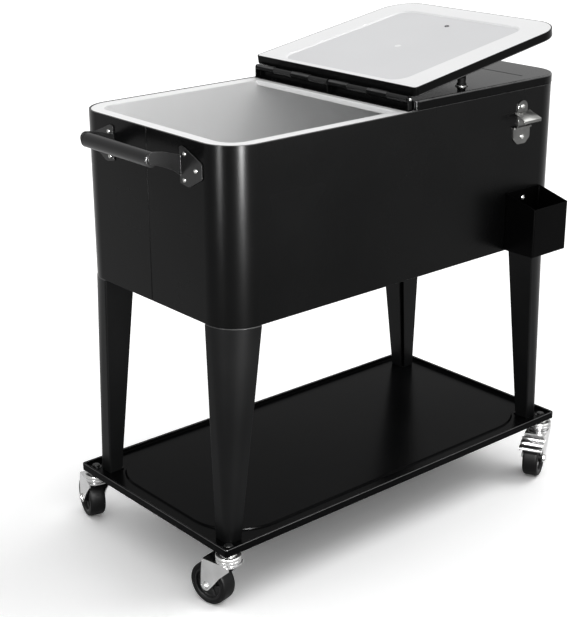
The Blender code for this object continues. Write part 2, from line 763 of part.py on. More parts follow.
def handle_grip(name, side):
    """The grip bar, with a blind hole in each end for the brackets' bosses."""
    centre = side * (HALF_LENGTH + GRIP_OUT)
    shrink = GRIP_RADIUS - GRIP_END_ROUND
    profile = (
        (GRIP_BORE, GRIP_BORE_DEEP - GRIP_HALF),
        (GRIP_BORE, -GRIP_HALF),
        (shrink, -GRIP_HALF),
        (GRIP_RADIUS, GRIP_END_ROUND - GRIP_HALF),
        (GRIP_RADIUS, GRIP_HALF - GRIP_END_ROUND),
        (shrink, GRIP_HALF),
        (GRIP_BORE, GRIP_HALF),
        (GRIP_BORE, GRIP_HALF - GRIP_BORE_DEEP),
    )
    loops = []
    for radius, y in profile:
        loops.append([(centre + a, y, GRIP_HEIGHT + b) for a, b, _ in circle(radius, 0, ROUND_SIDES)])
    body = stack(name, loops)
    smooth(body)
    paint(body, DARK_PLASTIC)


def handles():
    for side_name, side in SIDES:
        handle_grip(f"{side_name}_handle_grip", side)
        for depth_name, depth in DEPTHS:
            handle_bracket(f"{side_name}_handle_bracket_{depth_name}", side, depth)


# Opener and catcher


def bottle_opener():
    wall = -HALF_WIDTH - GAP
    face = wall - OPENER_SHEET
    arc = [math.pi * step / CORNER_STEPS for step in range(CORNER_STEPS + 1)]
    tab_centre = OPENER_TOP - OPENER_TAB_HALF
    outline = [
        (-OPENER_END_HALF, OPENER_LOW_END),
        (OPENER_END_HALF, OPENER_LOW_END),
        (OPENER_LOW_HALF, OPENER_LOW_CUT),
        (OPENER_LOW_HALF, OPENER_LOW_TOP),
        (OPENER_NECK_HALF, OPENER_LOW_TOP),
        (OPENER_NECK_HALF, OPENER_TAB_ROOT),
        (OPENER_TAB_HALF, OPENER_TAB_ROOT),
    ]
    for turn in arc:
        outline.append((OPENER_TAB_HALF * math.cos(turn), tab_centre + OPENER_TAB_HALF * math.sin(turn)))
    outline += [
        (-OPENER_TAB_HALF, OPENER_TAB_ROOT),
        (-OPENER_NECK_HALF, OPENER_TAB_ROOT),
        (-OPENER_NECK_HALF, OPENER_LOW_TOP),
        (-OPENER_LOW_HALF, OPENER_LOW_TOP),
        (-OPENER_LOW_HALF, OPENER_LOW_CUT),
    ]
    body = slab_along_y("bottle_opener", [(OPENER_X + x, z) for x, z in outline], face, wall)
    root = wall - OPENER_SHEET / 2
    tip = wall - HOOD_REACH
    thick = OPENER_SHEET
    tongue = (
        (root, HOOD_ROOT_TOP),
        (tip, HOOD_TIP_TOP),
        (tip, HOOD_TIP_TOP - thick - HOOD_LIP),
        (tip + thick, HOOD_TIP_TOP - thick - HOOD_LIP),
        (tip + thick, HOOD_TIP_TOP - thick),
        (root, HOOD_ROOT_TOP - thick),
    )
    loops = []
    for sign in (-1, 1):
        edge = []
        for y, z in tongue:
            share = (root - y) / (root - tip)
            half = HOOD_ROOT_HALF + share * (HOOD_TIP_HALF - HOOD_ROOT_HALF)
            edge.append((OPENER_X + sign * half, y, z))
        loops.append(edge)
    hood = stack("opener_hood", loops)
    lip = block(
        "opener_lip",
        OPENER_X - OPENER_LOW_HALF + thick,
        OPENER_X + OPENER_LOW_HALF - thick,
        wall - OPENER_LIP_OUT,
        root,
        OPENER_LOW_TOP - thick - GAP,
        OPENER_LOW_TOP - GAP,
    )
    combine(body, [hood, lip], "UNION")
    paint(body, STEEL)


def catcher_loop(inset, back_height, slope):
    wall = -HALF_WIDTH - GAP
    points = rounded(
        CATCHER_LEFT + inset,
        CATCHER_RIGHT - inset,
        wall - CATCHER_DEPTH + inset,
        wall - inset,
        (CATCHER_CORNER - inset,) * 4,
    )
    return [(x, y, back_height + slope * (wall - y)) for x, y in points]


def cap_catcher():
    slope = -CATCHER_FRONT_FALL / CATCHER_DEPTH
    loops = [
        catcher_loop(CATCHER_SHEET, CATCHER_LOW + CATCHER_SHEET, 0),
        catcher_loop(CATCHER_SHEET, CATCHER_BACK_TOP, slope),
        catcher_loop(0, CATCHER_BACK_TOP, slope),
        catcher_loop(0, CATCHER_LOW, 0),
    ]
    body = stack("cap_catcher", loops)
    smooth(body)
    paint(body, BLACK_COAT)


# Legs and tray


def leg_section(x_far, y_far, long, wide, corner, inset, signs):
    """One level of a leg: a box with a large radius at the outer corner, shrunk by inset."""
    points = rounded(
        x_far - long + inset,
        x_far - inset,
        y_far - wide + inset,
        y_far - inset,
        (corner - inset, LEG_BEND, LEG_BEND / 2, LEG_BEND),
    )
    return [(signs[0] * x, signs[1] * y) for x, y in points]


def leg(name, signs):
    top = TUB_BOTTOM - GAP
    low = TRAY_FLOOR + GAP
    tall = top - low

    def section(height, inset):
        share = (top - height) / tall
        ends = (
            (HALF_LENGTH, LEG_FOOT_X),
            (HALF_WIDTH, LEG_FOOT_Y),
            (LEG_TOP_SIZE, LEG_FOOT_LONG),
            (LEG_TOP_SIZE, LEG_FOOT_WIDE),
            (LEG_TOP_CORNER, LEG_FOOT_CORNER),
        )
        sizes = [high + share * (foot - high) for high, foot in ends]
        return level(leg_section(*sizes, inset, signs), height)

    body = stack(name, [section(low, 0), section(top, 0)])
    inner_low = low + LEG_SHEET
    inner_top = top - LEG_SHEET
    hollow = stack(f"{name}_hollow", [section(inner_low, LEG_SHEET), section(inner_top, LEG_SHEET)])
    rows = []
    for height, slot in ((inner_low, LEG_SLOT_LOW), (inner_top, LEG_SLOT_TOP)):
        corner_x, corner_y, _ = min(section(height, 0), key=lambda point: abs(point[0]) + abs(point[1]))
        reach_x, reach_y = slot * signs[0], slot * signs[1]
        xs = (corner_x - reach_x, corner_x + reach_x)
        ys = (corner_y - reach_y, corner_y + reach_y)
        rows.append(level(((xs[0], ys[0]), (xs[1], ys[0]), (xs[1], ys[1]), (xs[0], ys[1])), height))
    slot = stack(f"{name}_slot", rows)
    combine(body, [hollow, slot], "DIFFERENCE")
    smooth(body)
    paint(body, BLACK_COAT)


def tray_loop(inset, height, corner=None):
    radius = max(TRAY_CORNER - inset, RIM_ROUND) if corner is None else corner
    return level(centred(TRAY_LENGTH / 2 - inset, TRAY_WIDTH / 2 - inset, radius), height)


def shelf_tray():
    under = TRAY_FLOOR - TRAY_SHEET
    step_in = FIELD_INSET + TRAY_STEP_RUN
    field = TRAY_FIELD_CORNER
    loops = [
        tray_loop(step_in + TRAY_SHEET, under + TRAY_STEP, field - TRAY_STEP_RUN - TRAY_SHEET),
        tray_loop(FIELD_INSET + TRAY_SHEET, under, field - TRAY_SHEET),
        tray_loop(TRAY_SHEET, under),
        tray_loop(TRAY_SHEET, TRAY_APRON),
        tray_loop(0, TRAY_APRON),
        tray_loop(0, TRAY_RIM - RIM_ROUND),
        tray_loop(RIM_ROUND, TRAY_RIM),
        tray_loop(RIM_WIDE - RIM_ROUND, TRAY_RIM),
        tray_loop(RIM_WIDE, TRAY_RIM - RIM_ROUND),
        tray_loop(RIM_FOOT, TRAY_FLOOR),
        tray_loop(FIELD_INSET, TRAY_FLOOR, field),
        tray_loop(step_in, TRAY_FLOOR + TRAY_STEP, field - TRAY_STEP_RUN),
    ]
    body = stack("shelf_tray", loops)
    holes = [
        turned(
            f"tray_hole_{side_name}_{depth_name}",
            ((TRAY_HOLE, TRAY_APRON), (TRAY_HOLE, TRAY_RIM)),
            SMALL_SIDES,
            x=side * SWIVEL_X,
            y=depth * SWIVEL_Y,
        )
        for side_name, side in SIDES
        for depth_name, depth in DEPTHS
    ]
    combine(body, holes, "DIFFERENCE")
    smooth(body)
    paint(body, BLACK_COAT)


# Casters


def caster_stem(name, hang):
    """Stem nut, spacer, upper race and riveted king pin, which stay with the tray."""
    nut_low = TRAY_FLOOR + GAP
    spacer_top = SPACER_LOW + SPACER_HIGH
    race_low = RACE_TOP + GAP
    rivet_top = FORK_UNDER - GAP
    profile = (
        (STEM_NUT, nut_low + STEM_NUT_HIGH),
        (STEM_NUT, nut_low),
        (KING_RADIUS, nut_low),
        (KING_RADIUS, spacer_top),
        (SPACER_RADIUS, spacer_top),
        (SPACER_RADIUS, SPACER_LOW),
        (RACE_RADIUS - RACE_EDGE, SPACER_LOW),
        (RACE_RADIUS, SPACER_LOW - RACE_EDGE),
        (RACE_RADIUS, race_low),
        (KING_RADIUS, race_low),
        (KING_RADIUS, rivet_top),
        (RIVET_RADIUS, rivet_top),
        (RIVET_RADIUS - RACE_EDGE, rivet_top - RIVET_DEEP),
    )
    body = turned(name, profile, SMALL_SIDES, hang)
    smooth(body)
    paint(body, STEEL)


def fork_side_outline():
    """The side plate: broad under the top plate, with a round eye at the axle."""
    high, low = FORK_EYE_TURNS
    arc = [high + (low - high) * step / CORNER_STEPS for step in range(CORNER_STEPS + 1)]
    outline = [(-FORK_SIDE_BACK, (FORK_TOP + FORK_UNDER) / 2), (FORK_FRONT, (FORK_TOP + FORK_UNDER) / 2)]
    outline += [(TRAIL + FORK_EYE * math.cos(turn), WHEEL_RADIUS + FORK_EYE * math.sin(turn)) for turn in arc]
    outline.append((-FORK_SIDE_BACK, FORK_SIDE_BACK_LOW))
    return outline


def caster_fork(name, hang):
    plan = rounded(
        -FORK_BACK,
        FORK_FRONT,
        -FORK_OUTER,
        FORK_OUTER,
        (FORK_FRONT_CORNER, FORK_BACK_CORNER, FORK_BACK_CORNER, FORK_FRONT_CORNER),
    )
    body = stack(name, [level(plan, FORK_UNDER), level(plan, FORK_TOP)], hang)
    race_low = (FORK_TOP + FORK_UNDER) / 2
    profile = (
        (RACE_RADIUS - RACE_EDGE, race_low),
        (RACE_RADIUS - RACE_EDGE, FORK_TOP + RACE_EDGE),
        (RACE_RADIUS, FORK_TOP + 2 * RACE_EDGE),
        (RACE_RADIUS, RACE_TOP),
    )
    parts = [turned(f"{name}_race", profile, SMALL_SIDES, hang)]
    for label, sign in SIDES:
        low, high = sorted((sign * FORK_INNER, sign * FORK_OUTER))
        parts.append(slab_along_y(f"{name}_plate_{label}", fork_side_outline(), low, high, hang))
    combine(body, parts, "UNION")
    bore = ((KING_BORE, WHEEL_RADIUS * 2), (KING_BORE, TRAY_RIM))
    king = turned(f"{name}_king_bore", bore, SMALL_SIDES, hang)
    reach = 2 * FORK_OUTER
    eye = rod(f"{name}_axle_bore", WHEEL_BORE, -reach, reach, SMALL_SIDES, hang, TRAIL, WHEEL_RADIUS)
    combine(body, [king, eye], "DIFFERENCE")
    smooth(body)
    paint(body, CHROME)


def caster_wheel(name, hang):
    tread = WHEEL_RADIUS
    profile = (
        (WHEEL_BORE, -HUB_HALF),
        (HUB_RADIUS, -HUB_HALF),
        (HUB_RADIUS, -WEB_HALF),
        (WEB_OUTER, -WEB_HALF),
        (WEB_OUTER + WHEEL_EDGE / 2, -WHEEL_HALF),
        (tread - WHEEL_EDGE, -WHEEL_HALF),
        (tread, WHEEL_EDGE - WHEEL_HALF),
        (tread, WHEEL_HALF - WHEEL_EDGE),
        (tread - WHEEL_EDGE, WHEEL_HALF),
        (WEB_OUTER + WHEEL_EDGE / 2, WHEEL_HALF),
        (WEB_OUTER, WEB_HALF),
        (HUB_RADIUS, WEB_HALF),
        (HUB_RADIUS, HUB_HALF),
        (WHEEL_BORE, HUB_HALF),
    )
    body = turned(name, profile, FINE_SIDES, hang, ring=True, along_y=True)
    body.location = (TRAIL, 0, WHEEL_RADIUS)
    smooth(body)
    paint(body, RUBBER)


def caster_axle(name, hang):
    head_low = FORK_OUTER + GAP
    head_high = head_low + AXLE_HEAD_DEEP
    profile = (
        (AXLE_HEAD, -head_high),
        (AXLE_HEAD, -head_low),
        (AXLE_RADIUS, -head_low),
        (AXLE_RADIUS, head_low),
        (AXLE_HEAD, head_low),
        (AXLE_HEAD, head_high),
    )
    body = turned(name, profile, SMALL_SIDES, hang, along_y=True)
    body.location = (TRAIL, 0, WHEEL_RADIUS)
    smooth(body)
    paint(body, STEEL)


def brake_pedal(name, hang):
    """The stepped foot plate, its two side walls and the tongue that turns between the fork plates."""
    half_sheet = PEDAL_SHEET / 2
    top = [(x, z + half_sheet) for x, z in PEDAL_PATH]
    under = [(x, z - half_sheet) for x, z in PEDAL_PATH]
    body = slab_along_y(name, top + under[::-1], -PEDAL_HALF, PEDAL_HALF, hang)
    tongue = block(
        f"{name}_tongue",
        -PEDAL_TONGUE_BACK,
        PEDAL_PATH[1][0],
        -PEDAL_TONGUE_HALF,
        PEDAL_TONGUE_HALF,
        -half_sheet * PEDAL_TONGUE_SHARE,
        half_sheet * PEDAL_TONGUE_SHARE,
        hang,
    )
    wall = top[1:-1] + [(x, z - PEDAL_SIDE_DROP) for x, z in PEDAL_PATH[1:-1]][::-1]
    walls = []
    for label, sign in SIDES:
        low, high = sorted((sign * (PEDAL_HALF - GAP), sign * (PEDAL_HALF - PEDAL_SHEET)))
        lowered = [(x, z - GAP) for x, z in wall]
        walls.append(slab_along_y(f"{name}_wall_{label}", lowered, low, high, hang))
    combine(body, [tongue] + walls, "UNION")
    body.location = (PEDAL_PIVOT_X, 0, PEDAL_PIVOT_Z)
    for tool in [tongue] + walls:
        tool.location = body.location
    paint(body, CHROME)


def casters():
    for side_name, side in SIDES:
        for depth_name, depth in DEPTHS:
            place = f"{depth_name}_{side_name}"
            ahead = TRAIL_AHEAD[place]
            turn = math.atan2(ahead[1], ahead[0])
            hang = marker(f"{place}_swivel_axis", (side * SWIVEL_X, depth * SWIVEL_Y, 0), (0, 0, turn))
            caster_stem(f"{place}_caster_stem", hang)
            caster_fork(f"{place}_caster_fork", hang)
            caster_wheel(f"{place}_caster_wheel", hang)
            caster_axle(f"{place}_caster_axle", hang)
            if place in BRAKED:
                brake_pedal(f"{place}_brake_pedal", hang)


def centre_on_floor():
    """Moves everything so that the middle of the bounding box's underside is the origin."""
    bpy.context.view_layer.update()
    graph = bpy.context.evaluated_depsgraph_get()
    points = []
    for body in bpy.data.objects:
        if body.type != "MESH" or body.hide_render:
            continue
        shape = body.evaluated_get(graph)
        points += [shape.matrix_world @ Vector(corner) for corner in shape.bound_box]
    low = Vector([min(point[axis] for point in points) for axis in range(3)])
    high = Vector([max(point[axis] for point in points) for axis in range(3)])
    shift = Matrix.Translation((-(low.x + high.x) / 2, -(low.y + high.y) / 2, -low.z))
    for body in bpy.data.objects:
        if body.parent is None:
            body.matrix_world = shift @ body.matrix_world
    bpy.context.view_layer.update()


def build():
    clear_scene()
    tub_shell("front_shell", -1)
    tub_shell("rear_shell", 1)
    bottom_panel()
    inner_liner()
    foam_insulation()
    drain()
    hinge_bridge()
    lids()
    handles()
    bottle_opener()
    cap_catcher()
    for side_name, side in SIDES:
        for depth_name, depth in DEPTHS:
            leg(f"{depth_name}_{side_name}_leg", (side, depth))
    shelf_tray()
    casters()
    centre_on_floor()


build()
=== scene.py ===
"""Looks of the rolling patio cooler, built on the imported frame: fine shapes, finishes, light and camera."""

import math
import random

import bmesh
import bpy
from mathutils import Matrix, Vector


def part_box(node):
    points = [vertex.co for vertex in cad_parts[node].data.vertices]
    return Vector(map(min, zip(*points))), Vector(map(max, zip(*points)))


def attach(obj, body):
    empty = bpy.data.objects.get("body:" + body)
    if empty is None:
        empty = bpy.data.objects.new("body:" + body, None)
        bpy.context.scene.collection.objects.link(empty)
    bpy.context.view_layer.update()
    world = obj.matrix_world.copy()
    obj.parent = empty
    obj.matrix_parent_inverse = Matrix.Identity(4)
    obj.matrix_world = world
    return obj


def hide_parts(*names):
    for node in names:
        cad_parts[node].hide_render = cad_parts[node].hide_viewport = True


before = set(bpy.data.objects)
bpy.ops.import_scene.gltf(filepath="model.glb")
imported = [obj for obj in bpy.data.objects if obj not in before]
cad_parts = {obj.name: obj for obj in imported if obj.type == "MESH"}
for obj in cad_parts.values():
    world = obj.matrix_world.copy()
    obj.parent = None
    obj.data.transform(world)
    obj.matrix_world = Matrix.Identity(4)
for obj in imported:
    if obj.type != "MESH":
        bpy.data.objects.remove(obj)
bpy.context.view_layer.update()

QUARTER = math.pi / 2

# Steps of a large rounded corner
FINE = 14

# Sizes shared with the solids, in metres, with heights above the floor
GAP = 0.0003
HALF_LENGTH = 0.390
HALF_WIDTH = 0.204
TUB_BOTTOM = 0.487
TUB_TOP = 0.778
TUB_CORNER = 0.060
SHEET = 0.0012
FLANGE = 0.009
RIM = 0.0032
LIP_TOP = 0.7775
LIP_LOW = 0.775
WELL_FLOOR = 0.517
HINGE_HALF = 0.196
EAR = 0.003
PIN_RADIUS = 0.0025
PIN_HEIGHT = 0.7971
KNUCKLES = 8
KNUCKLE_GAP = 0.0005
KNUCKLE_RADIUS = 0.0055
GRIP_X = HALF_LENGTH + 0.053
GRIP_HEIGHT = 0.750
TRAY_TOP = 0.120
TRAY_FLOOR = 0.112
TRAY_UNDER = 0.1105
TRAY_HALF = (0.413, 0.212)
TRAY_CORNER = 0.005
TRAY_EDGE = 0.0014
TRAY_FIELD_CORNER = 0.127
LEG_TOP = TUB_BOTTOM - GAP
LEG_LOW = TRAY_FLOOR + GAP
SWIVEL = (0.394, 0.194)
TRAIL = 0.035
WHEEL_RADIUS = 0.0375
CHEEK = (0.0176, 0.0200)

# Sizes of the lids, with heights above the pin's axis
OPEN_ANGLE = math.radians(170.5)
LID_FACE = 0.0065
LID_TOP = -0.0025
LID_SKIRT = TUB_TOP + GAP - PIN_HEIGHT
LID_EDGE = 0.0036
LID_CORNER = 0.058
LID_HINGE_CORNER = 0.008

# Outer x and y, length, width and corner radius of a leg's plan at its top and at its foot
LEG_PLANS = ((HALF_LENGTH, HALF_WIDTH, 0.066, 0.066, 0.058), (0.390, 0.188, 0.030, 0.034, 0.012))

# Names and signs of the ends and fronts, and the way each caster points
SIDES = (("left", -1), ("right", 1))
DEPTHS = (("front", -1), ("back", 1))
AHEAD = {
    "front_left": (-0.20, 0.98),
    "back_left": (0.26, 0.97),
    "front_right": (-0.90, -0.44),
    "back_right": (0.10, 0.99),
}

# Light levels, and the floor's half size and brightness
AMBIENT = 0.78
KEY = 0.85
KEY_SPREAD = math.radians(34)
KEY_AHEAD = (-0.75, 0.28, -1.0)
FLOOR = 12
FLOOR_LIT = (0.875, 0.885)
FLOOR_SEEN = (1.33, 1.34)

# Place, target, width, height and watts of the lamps that are seen in reflections
LAMPS = {
    "strip_front": ((-0.62, -1.20, 1.00), (-0.37, -0.18, 0.86), 0.22, 1.1, 260),
    "strip_end": ((-1.40, -0.36, 0.98), (-0.38, -0.17, 0.86), 0.16, 1.1, 66),
    "soft_front": ((0.92, -2.6, 0.90), (-0.2, -0.2, 0.75), 1.7, 1.3, 48),
}

# Places of the tub, from the hinge pin's place in the frame, and of its drain
PIN_LOW, PIN_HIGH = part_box("hinge_pin")
SHIFT_Y = (PIN_LOW.y + PIN_HIGH.y) / 2
TUB = Matrix.Translation((0, SHIFT_Y, 0))
DRAIN = TUB @ Matrix.Translation((0.270, 0, 0))


# Mesh helpers


def mesh_of(name, form):
    """Turns the form into a mesh whose faces point outwards."""
    bmesh.ops.recalc_face_normals(form, faces=form.faces)
    mesh = bpy.data.meshes.new(name)
    form.to_mesh(mesh)
    form.free()
    return mesh


def new_item(name, data):
    item = bpy.data.objects.new(name, data)
    bpy.context.scene.collection.objects.link(item)
    return item


def link(name, form, place=TUB):
    body = new_item(name, mesh_of(name, form))
    body.matrix_world = place
    return body


def add_stack(form, loops, ring=False):
    """Skins the loops one after the other, and closes both ends or joins them into a ring."""
    rows = [[form.verts.new(point) for point in loop] for loop in loops]
    pairs = list(zip(rows, rows[1:]))
    if ring:
        pairs.append((rows[-1], rows[0]))
    else:
        form.faces.new(rows[0])
        form.faces.new(rows[-1])
    for low, high in pairs:
        for index in range(len(low)):
            after = (index + 1) % len(low)
            form.faces.new((low[index], low[after], high[after], high[index]))


def stack(name, loops, place=TUB, ring=False):
    form = bmesh.new()
    add_stack(form, loops, ring)
    return link(name, form, place)


def rounded(x_low, x_high, y_low, y_high, radii, steps=FINE):
    """A rectangle with a radius for each corner, anticlockwise from the far right one."""
    points = []
    for turn, radius in enumerate(radii):
        x_centre = x_high - radius if turn in (0, 3) else x_low + radius
        y_centre = y_high - radius if turn in (0, 1) else y_low + radius
        for step in range(steps + 1):
            angle = QUARTER * (turn + step / steps)
            points.append((x_centre + radius * math.cos(angle), y_centre + radius * math.sin(angle)))
    return points


def centred(half_x, half_y, radius):
    return rounded(-half_x, half_x, -half_y, half_y, (radius,) * 4)


def level(points, height):
    return [(x, y, height) for x, y in points]


def edge_round(radius, steps):
    """The (inset, drop) pairs of a rounded edge, from its side face up to its top."""
    turns = [QUARTER * step / steps for step in range(steps + 1)]
    return [(radius * (1 - math.cos(turn)), radius * (1 - math.sin(turn))) for turn in turns]


def ease(share):
    return share * share * (3 - 2 * share)


def arc(x, y, radius, start, end, steps):
    """Points on an arc about (x, y), between two angles."""
    turns = [start + (end - start) * step / steps for step in range(steps + 1)]
    return [(x + radius * math.cos(turn), y + radius * math.sin(turn)) for turn in turns]


def circle(radius, height, steps, x=0, y=0):
    turns = [2 * math.pi * step / steps for step in range(steps)]
    return [(x + radius * math.cos(turn), y + radius * math.sin(turn), height) for turn in turns]


def rings_along_y(profile, steps, x=0, z=0):
    return [[(x + a, y, z + b) for a, b, _ in circle(radius, 0, steps)] for radius, y in profile]


def turned(name, profile, steps, place=TUB, ring=False):
    return stack(name, [circle(radius, height, steps) for radius, height in profile], place, ring)


def rod(name, radius, low, high, steps, place=TUB, x=0, z=0):
    return stack(name, rings_along_y(((radius, low), (radius, high)), steps, x, z), place)


def block(name, x_low, x_high, y_low, y_high, z_low, z_high, place=TUB):
    base = ((x_low, y_low), (x_high, y_low), (x_high, y_high), (x_low, y_high))
    return stack(name, [level(base, z_low), level(base, z_high)], place)


def slab_along_y(name, outline, y_low, y_high, place=TUB):
    return stack(name, [[(x, end, z) for x, z in outline] for end in (y_low, y_high)], place)


def slab_along_x(name, outline, x_low, x_high):
    return stack(name, [[(end, y, z) for y, z in outline] for end in (x_low, x_high)])


def settle(body):
    """Applies the body's modifiers to its mesh."""
    graph = bpy.context.evaluated_depsgraph_get()
    mesh = bpy.data.meshes.new_from_object(body.evaluated_get(graph))
    body.modifiers.clear()
    body.data = mesh


def combine(body, tools, operation):
    """Joins the tools to the body or cuts them from it, and removes them."""
    for tool in tools:
        modifier = body.modifiers.new(tool.name, "BOOLEAN")
        modifier.operation = operation
        modifier.solver = "EXACT"
        modifier.object = tool
    bpy.context.view_layer.update()
    settle(body)
    for tool in tools:
        bpy.data.objects.remove(tool, do_unlink=True)


def soften(body, width=0, segments=2, sharp=30):
    """Rounds the hard edges a little and shades the rest smoothly."""
    if width:
        bevel = body.modifiers.new("edges", "BEVEL")
        bevel.width = width
        bevel.segments = segments
        bevel.limit_method = "ANGLE"
        bevel.angle_limit = math.radians(sharp)
        bevel.use_clamp_overlap = True
        settle(body)
    body.data.shade_smooth()
    body.data.set_sharp_from_angle(angle=math.radians(sharp + 5))
    body.modifiers.new("normals", "WEIGHTED_NORMAL").keep_sharp = True
    return body


def dress(body, owner, material, slot, *nodes):
    """Gives the body its finish, and names its moving body and the nodes that it replaces; the slot is not
    used.
    """
    body.data.materials.clear()
    body.data.materials.append(material)
    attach(body, owner)
    if nodes:
        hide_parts(*nodes)


def mark_faces(body, material, chosen):
    """Gives the faces that chosen(centre, normal) picks one more finish."""
    body.data.materials.append(material)
    for face in body.data.polygons:
        if chosen(face.center, face.normal):
            face.material_index = len(body.data.materials) - 1


# Materials


def new_material(name):
    material = bpy.data.materials.new(name)
    material.use_nodes = True
    nodes = material.node_tree.nodes
    return material, nodes, material.node_tree.links, nodes["Principled BSDF"]


def noise(nodes, links, scale, detail, stretch=None):
    texture = nodes.new("ShaderNodeTexNoise")
    texture.inputs["Scale"].default_value = scale
    texture.inputs["Detail"].default_value = detail
    place = nodes.new("ShaderNodeTexCoord")
    source = place.outputs["Object"]
    if stretch:
        mapping = nodes.new("ShaderNodeMapping")
        mapping.inputs["Scale"].default_value = stretch
        links.new(source, mapping.inputs["Vector"])
        source = mapping.outputs["Vector"]
    links.new(source, texture.inputs["Vector"])
    return texture.outputs["Fac"]


def ramp(nodes, links, source, low, high):
    """The noise as a colour between low and high."""
    blend = nodes.new("ShaderNodeValToRGB")
    dark, light = blend.color_ramp.elements
    dark.position = 0.3
    dark.color = (*low, 1)
    light.position = 0.7
    light.color = (*high, 1)
    links.new(source, blend.inputs["Fac"])
    return blend.outputs["Color"]


def spread(nodes, links, source, low, high):
    """The noise as a number between low and high."""
    change = nodes.new("ShaderNodeMapRange")
    change.inputs["From Min"].default_value = 0.25
    change.inputs["From Max"].default_value = 0.75
    change.inputs["To Min"].default_value = low
    change.inputs["To Max"].default_value = high
    links.new(source, change.inputs["Value"])
    return change.outputs["Result"]


def surface(name, low, high, rough, grain, cloud=6.0, metallic=0.0, specular=0.5, stretch=None):
    """A finish with slow colour change, uneven gloss and a fine grain."""
    grain_scale, relief_strength, relief_depth = grain
    material, nodes, links, shader = new_material(name)
    slow = noise(nodes, links, cloud, 4.0)
    fine = noise(nodes, links, grain_scale, 2.0, stretch)
    links.new(ramp(nodes, links, slow, low, high), shader.inputs["Base Color"])
    links.new(spread(nodes, links, slow, *rough), shader.inputs["Roughness"])
    shader.inputs["Metallic"].default_value = metallic
    shader.inputs["Specular IOR Level"].default_value = specular
    relief = nodes.new("ShaderNodeBump")
    relief.inputs["Strength"].default_value = relief_strength
    relief.inputs["Distance"].default_value = relief_depth
    links.new(fine, relief.inputs["Height"])
    links.new(relief.outputs["Normal"], shader.inputs["Normal"])
    return material


# Grain scale, relief strength and relief depth of each kind of surface
PAINT = (900, 0.10, 0.0004)
TRAY_PAINT = (900, 0.08, 0.0003)
GLOSS_PAINT = (900, 0.06, 0.0003)
MOULDED = (500, 0.05, 0.0003)
MATT = (700, 0.08, 0.0003)
RIGID_FOAM = (350, 0.50, 0.0010)
BRUSHED = (220, 0.06, 0.0003)
STAMPED = (220, 0.08, 0.0003)
PLATED = (260, 0.05, 0.0003)
TREAD = (700, 0.25, 0.0006)
FOOT = (700, 0.25, 0.0005)
HARD = (600, 0.12, 0.0004)
SMOOTH = (600, 0.10, 0.0004)
BRUSH_STRETCH = (1, 1, 14)

# Finishes: darkest and lightest colour, range of roughness, grain
COAT = surface(
    "powder_coat", (0.0016, 0.0017, 0.0018), (0.0028, 0.0029, 0.0030), (0.24, 0.30), PAINT, specular=0.045
)
BOX_COAT = surface(
    "box_coat", (0.0012, 0.0012, 0.0013), (0.0022, 0.0022, 0.0023), (0.26, 0.32), PAINT, specular=0.012
)
# Painted sheen: a lighter copy of the black coat for the legs, standing in for the reflections that brighten
# their faces.
LIT_LEG_COAT = surface(
    "lit_leg_coat", (0.0045, 0.0047, 0.0050), (0.0070, 0.0072, 0.0075), (0.34, 0.42), PAINT, specular=0.050
)
TRAY_COAT = surface(
    "shelf_coat", (0.0020, 0.0021, 0.0023), (0.0034, 0.0035, 0.0037), (0.18, 0.24), TRAY_PAINT, specular=0.014
)
WHITE = surface("liner_plastic", (0.850, 0.852, 0.852), (0.875, 0.877, 0.877), (0.28, 0.36), MOULDED)
LID_WHITE = surface(
    "lid_liner_plastic", (0.850, 0.852, 0.856), (0.875, 0.877, 0.881), (0.30, 0.40), MOULDED, specular=0.30
)
# Painted shade: a darker copy of the lid's white plastic for its recessed field.
SHADED_FIELD_PLASTIC = surface(
    "shaded_lid_field_plastic", (0.665, 0.667, 0.677), (0.695, 0.697, 0.707), (0.42, 0.52), MATT, specular=0.25
)
# Painted highlight: a much lighter copy of the black coat on rounded edges, standing in for the highlights
# that light draws along them.
EDGE_HIGHLIGHT = surface(
    "painted_edge_highlight", (0.020, 0.020, 0.0205), (0.060, 0.060, 0.0605), (0.24, 0.36), PAINT, cloud=30, specular=0.30
)
# Painted highlight: a lighter, glossier copy of the coat, given to the left lid's knuckles only.
LIT_KNUCKLE_COAT = surface(
    "lit_knuckle_coat", (0.0040, 0.0041, 0.0043), (0.0060, 0.0061, 0.0063), (0.13, 0.18), GLOSS_PAINT, specular=0.20
)
LID_COAT = surface(
    "lid_coat", (0.0030, 0.0031, 0.0032), (0.0042, 0.0043, 0.0044), (0.11, 0.16), GLOSS_PAINT, specular=0.025
)
INSULATION = surface("insulation_foam", (0.62, 0.55, 0.36), (0.72, 0.65, 0.45), (0.85, 0.95), RIGID_FOAM)
STEEL = surface(
    "plain_steel", (0.34, 0.34, 0.335), (0.44, 0.44, 0.435), (0.24, 0.34), BRUSHED,
    cloud=14, metallic=1.0, stretch=BRUSH_STRETCH,
)
OPENER_STEEL = surface(
    "opener_steel", (0.20, 0.20, 0.195), (0.30, 0.30, 0.29), (0.20, 0.30), BRUSHED,
    cloud=18, metallic=1.0, stretch=BRUSH_STRETCH,
)
WASHER_STEEL = surface(
    "washer_steel", (0.10, 0.10, 0.098), (0.16, 0.16, 0.157), (0.36, 0.46), BRUSHED, cloud=18, metallic=1.0
)
